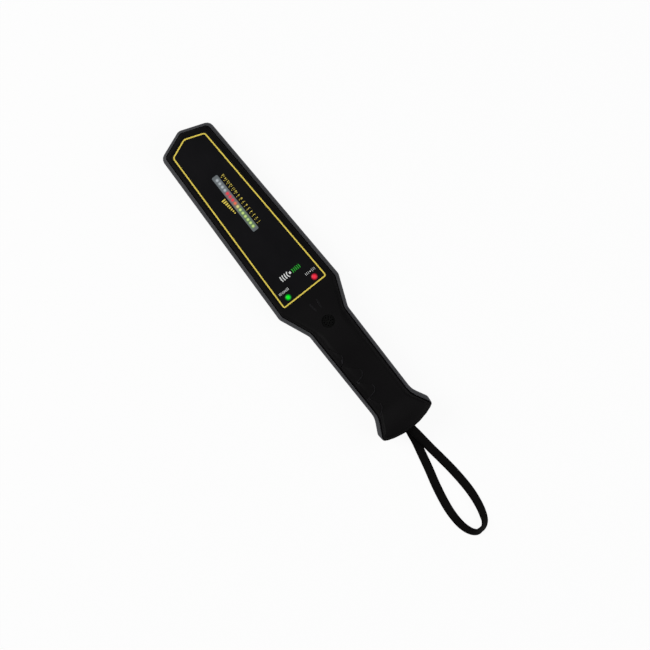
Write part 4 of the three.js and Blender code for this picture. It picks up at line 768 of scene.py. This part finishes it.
def makeRefined(nodeName):
    radius, smoothAngle = refinements[nodeName]
    source = nodes[nodeName]
    piece = bpy.data.objects.new(nodeName + "_refined", source.data.copy())
    scene.collection.objects.link(piece)
    activate(piece)
    bpy.ops.mesh.customdata_custom_splitnormals_clear()
    bpy.ops.object.mode_set(mode="EDIT")
    bpy.ops.mesh.select_all(action="SELECT")
    bpy.ops.mesh.remove_doubles(threshold=refining["weld"])
    bpy.ops.mesh.dissolve_limited(angle_limit=refining["flatAngle"])
    bpy.ops.object.mode_set(mode="OBJECT")
    if nodeName == paintedHighlightEdges["shell"]:
        bevelWithPaintedHighlight(piece)
    applyModifier(
        piece, "BEVEL", width=radius * mm, segments=refining["edgeSegments"], limit_method="ANGLE",
        angle_limit=math.radians(smoothAngle + refining["edgeMargin"]), use_clamp_overlap=True,
    )
    smoothBelow(piece, smoothAngle)
    applyModifier(piece, "WEIGHTED_NORMAL", keep_sharp=True, weight=refining["faceWeight"])
    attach(piece, source["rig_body"])
    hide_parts(nodeName)


for nodeName in refinements:
    makeRefined(nodeName)
print("pieces refined")


# Case screws: self-tapping, with a cross recess in the head
caseScrew = {
    "count": 7,
    "headRadius": 2.7 * mm,
    "headHeight": 2.0 * mm,
    "headEdge": 0.6 * mm,
    "coreRadius": 0.95 * mm,
    "crestRadius": 1.28 * mm,
    "pitch": 1.1 * mm,
    "runIn": 1.0 * mm,
    "point": 1.6 * mm,
    "sides": 32,
    "recessReach": 1.75 * mm,
    "recessWidth": 0.75 * mm,
    "recessDepth": 1.3 * mm,
    "weld": 0.001 * mm,
    "smoothAngle": 35,
}


def spun(profile):  # a closed form spun from its profile, given as radius and height
    deselectAll()
    bpy.ops.mesh.primitive_circle_add(vertices=len(profile), fill_type="NOTHING", location=(0, 0, 0))
    piece = bpy.context.object
    for vertex, (radius, height) in zip(piece.data.vertices, profile):
        vertex.co = (radius, 0, height)
    activate(piece)
    bpy.ops.object.mode_set(mode="EDIT")
    bpy.ops.mesh.select_all(action="SELECT")
    bpy.ops.mesh.spin(steps=caseScrew["sides"], angle=math.tau, center=(0, 0, 0), axis=(0, 0, 1))
    bpy.ops.mesh.select_all(action="SELECT")
    bpy.ops.mesh.remove_doubles(threshold=caseScrew["weld"])
    bpy.ops.mesh.dissolve_degenerate(threshold=caseScrew["weld"])
    bpy.ops.mesh.select_all(action="SELECT")
    bpy.ops.mesh.normals_make_consistent(inside=False)
    bpy.ops.object.mode_set(mode="OBJECT")
    return piece


def screwModel():
    low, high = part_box("case_screw_1")
    seat = low.z + caseScrew["headHeight"]
    profile = [
        (0, low.z), (caseScrew["headRadius"] - caseScrew["headEdge"], low.z),
        (caseScrew["headRadius"], low.z + caseScrew["headEdge"]), (caseScrew["headRadius"], seat),
        (caseScrew["coreRadius"], seat),
    ]
    height = seat + caseScrew["runIn"]
    while height + caseScrew["pitch"] < high.z - caseScrew["point"]:
        profile.append((caseScrew["coreRadius"], height))
        profile.append((caseScrew["crestRadius"], height + caseScrew["pitch"] / 2))
        height += caseScrew["pitch"]
    profile += [(caseScrew["coreRadius"], high.z - caseScrew["point"]), (0, high.z)]
    screw = spun(profile)
    for turn in (0, 90):
        bpy.ops.mesh.primitive_cube_add(
            size=1, location=(0, 0, low.z), rotation=(0, 0, math.radians(turn)),
            scale=(2 * caseScrew["recessReach"], caseScrew["recessWidth"], 2 * caseScrew["recessDepth"]),
        )
        cutter = bpy.context.object
        applyModifier(screw, "BOOLEAN", object=cutter, operation="DIFFERENCE", solver="EXACT")
        bpy.data.objects.remove(cutter)
    smoothBelow(screw, caseScrew["smoothAngle"])
    return screw


def makeScrews():
    model = screwModel()
    for number in range(1, caseScrew["count"] + 1):
        nodeName = f"case_screw_{number}"
        piece = bpy.data.objects.new(f"{nodeName}_refined", model.data.copy())
        scene.collection.objects.link(piece)
        middle = boxMiddle(nodeName)
        piece.location = (middle.x, middle.y, 0)
        applyPlace(piece)
        dress(piece, "steel")
        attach(piece, "wand_body")
        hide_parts(nodeName)
    bpy.data.objects.remove(model)


makeScrews()
print("screws made")


# Print on the face label: thin layers of ink
ink = {
    "sunk": 0.01 * mm,
    "thickness": 0.06 * mm,
    "outline": [(10.3, -0.8), (18.8, 22.0), (223.4, 29.7), (223.4, -29.6), (19.2, -23.3)],
    "outlineRadius": 2.7 * mm,
    "outlineSegments": 4,
    "outlineWidth": 1.5 * mm,
    "tickReach": (5.4, 6.4),
    "tickWidth": 0.6,
    "numberFoot": 9.9,
    "numberHeight": 3.7,
    "numberBold": 0.05,
    "letterSteps": 3,
    "discSteps": 20,
    "arcSteps": 8,
    "risingBars": {"first": 89.9, "pitch": 2.62, "count": 8, "width": 1.5, "foot": -5.9, "reach": (1.4, 4.5)},
    "waves": {
        "along": 196.4, "dot": 1.4,
        "white": {"radii": (4.0, 6.7, 9.4, 12.1), "halfHeight": 3.2, "width": 1.25},
        "green": {"radii": (3.9, 6.1, 8.3, 10.5, 12.7), "halfHeight": 2.3, "width": 1.0},
    },
    "signs": {
        "along": 208.7, "across": 18.2, "radius": 1.45, "width": 0.4,
        "bars": (3.7, 4.8, 5.9),
        "rings": (1.7, 2.9, 4.1), "mostSpread": 0.9,  # shares of the sign's radius, and a ring's highest sine
    },
}
inkBase = body["labelTop"] - ink["sunk"]


def layInk(piece, look, name):  # a flat face at the label's height becomes a thin layer of ink
    activate(piece)
    bpy.ops.object.mode_set(mode="EDIT")
    bpy.ops.mesh.select_all(action="SELECT")
    bpy.ops.mesh.extrude_region_move(TRANSFORM_OT_translate={"value": (0, 0, ink["thickness"])})
    bpy.ops.mesh.select_all(action="SELECT")
    bpy.ops.mesh.normals_make_consistent(inside=False)
    bpy.ops.object.mode_set(mode="OBJECT")
    piece.name = name
    applyPlace(piece)
    dress(piece, look)


def inkPolygon(corners):  # a flat face whose corners are places on the body, in mm
    deselectAll()
    bpy.ops.mesh.primitive_circle_add(vertices=len(corners), fill_type="NGON", location=(0, 0, 0))
    piece = bpy.context.object
    for vertex, (along, across) in zip(piece.data.vertices, corners):
        vertex.co = alongBody(along, across, 0)
        vertex.co.z = inkBase
    return piece


def inkBar(along, across, length, width):  # a rectangle about its middle
    halfLong, halfWide = length / 2, width / 2
    return inkPolygon([
        (along - halfLong, across - halfWide), (along + halfLong, across - halfWide),
        (along + halfLong, across + halfWide), (along - halfLong, across + halfWide),
    ])


def inkArc(along, across, radius, width, middle, half):  # angles in degrees, from the butt's side
    steps = ink["arcSteps"]
    rim = []
    for reach, order in ((radius + width / 2, 1), (radius - width / 2, -1)):
        for step in range(steps + 1)[::order]:
            turn = math.radians(middle - half + 2 * half * step / steps)
            rim.append((along + reach * math.cos(turn), across + reach * math.sin(turn)))
    return inkPolygon(rim)


def inkDisc(along, across, radius):
    turns = [math.tau * step / ink["discSteps"] for step in range(ink["discSteps"])]
    return inkPolygon([(along + radius * math.cos(turn), across + radius * math.sin(turn)) for turn in turns])


def inkText(words, along, across, turn):
    deselectAll()
    spot = alongBody(along, across, 0)
    spot.z = inkBase
    bpy.ops.object.text_add(location=spot, rotation=(0, 0, math.radians(turn)))
    piece = bpy.context.object
    piece.data.body = words
    piece.data.size = ink["numberHeight"] * mm
    piece.data.offset = ink["numberBold"] * mm
    piece.data.align_x = "CENTER"
    piece.data.resolution_u = ink["letterSteps"]
    bpy.ops.object.convert(target="MESH")
    piece = bpy.context.object
    applyPlace(piece)
    return piece


def joined(pieces):
    deselectAll()
    for piece in pieces:
        piece.select_set(True)
    bpy.context.view_layer.objects.active = pieces[0]
    bpy.ops.object.join()
    return pieces[0]


def finishPrint(piece, look, name):
    layInk(piece, look, name)
    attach(piece, "wand_body")


def printOutline():  # the line that runs round inside the label's edge
    piece = inkPolygon(ink["outline"])
    activate(piece)
    bpy.ops.object.mode_set(mode="EDIT")
    bpy.ops.mesh.select_all(action="SELECT")
    bpy.ops.mesh.bevel(
        offset=ink["outlineRadius"], affect="VERTICES", segments=ink["outlineSegments"], clamp_overlap=True,
    )
    bpy.ops.mesh.select_all(action="SELECT")
    bpy.ops.mesh.inset(thickness=ink["outlineWidth"], depth=0)
    bpy.ops.mesh.delete(type="FACE")
    bpy.ops.object.mode_set(mode="OBJECT")
    finishPrint(piece, "yellowInk", "yellowOutline")


def printScale():  # a tick and a number for every lamp, read from the handle towards the tip
    pieces = []
    low, high = ink["tickReach"]
    for lamp in range(1, bar["lamps"] + 1):
        along = (lampSpot(lamp).x + body["length"] / 2) / mm
        pieces.append(inkBar(along, (low + high) / 2, ink["tickWidth"], high - low))
        pieces.append(inkText(str(bar["lamps"] + 1 - lamp), along, ink["numberFoot"], 180))
    finishPrint(joined(pieces), "yellowInk", "signalScale")


def printRisingBars():  # bars that grow towards the tip, as the signal does
    bars = ink["risingBars"]
    least, most = bars["reach"]
    pieces = []
    for step in range(bars["count"]):
        reach = most + (least - most) * step / (bars["count"] - 1)
        along = bars["first"] + bars["pitch"] * step
        pieces.append(inkBar(along, bars["foot"] - reach / 2, bars["width"], reach))
    finishPrint(joined(pieces), "yellowInk", "risingBars")


def printWaves():  # a dot between waves: the sound sign, white on one side and green on the other
    waves = ink["waves"]
    for side, shade in ((-1, "white"), (1, "green")):
        pieces = [inkDisc(waves["along"], 0, waves["dot"])] if side < 0 else []
        for radius in waves[shade]["radii"]:
            half = math.degrees(math.asin(waves[shade]["halfHeight"] / radius))
            pieces.append(inkArc(waves["along"], 0, radius, waves[shade]["width"], side * 90, half))
        finishPrint(joined(pieces), shade + "Ink", shade + "SoundWaves")


def printSigns():  # ON between bars beside the ready lamp, and a sounding dot beside the alert lamp
    signs = ink["signs"]
    along, across, radius, width = signs["along"], signs["across"], signs["radius"], signs["width"]
    pieces = [inkText("ON", along + radius, -across, 90), inkDisc(along, across, radius / 2)]
    for side in (-1, 1):
        for reach in signs["bars"]:
            pieces.append(inkBar(along, -across + side * reach, 2 * radius, width))
        for ring in signs["rings"]:
            half = math.degrees(math.asin(min(1 / ring, signs["mostSpread"])))
            pieces.append(inkArc(along, across, ring * radius, width, side * 90, half))
    finishPrint(joined(pieces), "whiteInk", "lampSigns")


printOutline()
printScale()
printRisingBars()
printWaves()
printSigns()
print("label printed")


# Floor, light and world
studio = {
    "floorSize": 6.0,
    "floorDrop": 0.2 * mm,
    "paperWhite": 0.85,
    "backgroundShare": 0.93,
    "keyPower": 34, "keySize": 1.5, "keyPlace": (-1.1, -1.1, 1.6),
    "fillPower": 22, "fillSize": 1.6, "fillPlace": (1.2, 1.1, 1.4),
    "worldStrength": 0.14,
}


def paperFloor():  # seamless studio paper: white to the camera, takes the shadow, and is clear from below
    material = startMaterial("studioPaper")
    path = addNode(material, "LightPath", {})
    seen = addNode(material, "Math", {
        0: path.outputs["Is Camera Ray"], 1: path.outputs["Is Glossy Ray"],
    }, operation="MAXIMUM")
    seenAll = addNode(material, "Math", {
        0: seen.outputs[0], 1: path.outputs["Is Transmission Ray"],
    }, operation="MAXIMUM")
    share = addNode(material, "Math", {
        0: seenAll.outputs[0], 1: studio["backgroundShare"],
    }, operation="MULTIPLY")
    paper = addNode(material, "BsdfDiffuse", {"Color": [studio["paperWhite"]] * 3 + [1]})
    white = addNode(material, "Emission", {"Color": (1, 1, 1, 1), "Strength": 1.0})
    mix = addNode(material, "MixShader", {0: share.outputs[0], 1: paper.outputs[0], 2: white.outputs[0]})
    facing = addNode(material, "NewGeometry", {}).outputs["Backfacing"]
    clear = addNode(material, "BsdfTransparent", {})
    return finishMaterial(material, addNode(material, "MixShader", {
        0: facing, 1: mix.outputs[0], 2: clear.outputs[0],
    }))


def makeFloor():
    deselectAll()
    bpy.ops.mesh.primitive_plane_add(size=studio["floorSize"], location=(0, 0, -studio["floorDrop"]))
    floor = bpy.context.object
    floor.name = "studioFloor"
    applyPlace(floor)
    floor.data.materials.append(paperFloor())


def cadBoxMiddle():
    return (Vector(cadBox[0]) + Vector(cadBox[1])) / 2


def softLamp(name, power, size, place):
    deselectAll()
    bpy.ops.object.light_add(type="AREA", location=place)
    lamp = bpy.context.object
    lamp.name = name
    lamp.data.energy = power
    lamp.data.size = size
    aim = cadBoxMiddle() - Vector(place)
    lamp.rotation_euler = aim.to_track_quat("-Z", "Y").to_euler()


makeFloor()
softLamp("keyLamp", studio["keyPower"], studio["keySize"], studio["keyPlace"])
softLamp("fillLamp", studio["fillPower"], studio["fillSize"], studio["fillPlace"])
world = bpy.data.worlds.new("studioWorld")
scene.world = world
world.use_nodes = True
background = world.node_tree.nodes["Background"]
background.inputs["Color"].default_value = (1, 1, 1, 1)
background.inputs["Strength"].default_value = studio["worldStrength"]
scene.view_settings.view_transform = "Standard"
print("studio lit")

deselectAll()
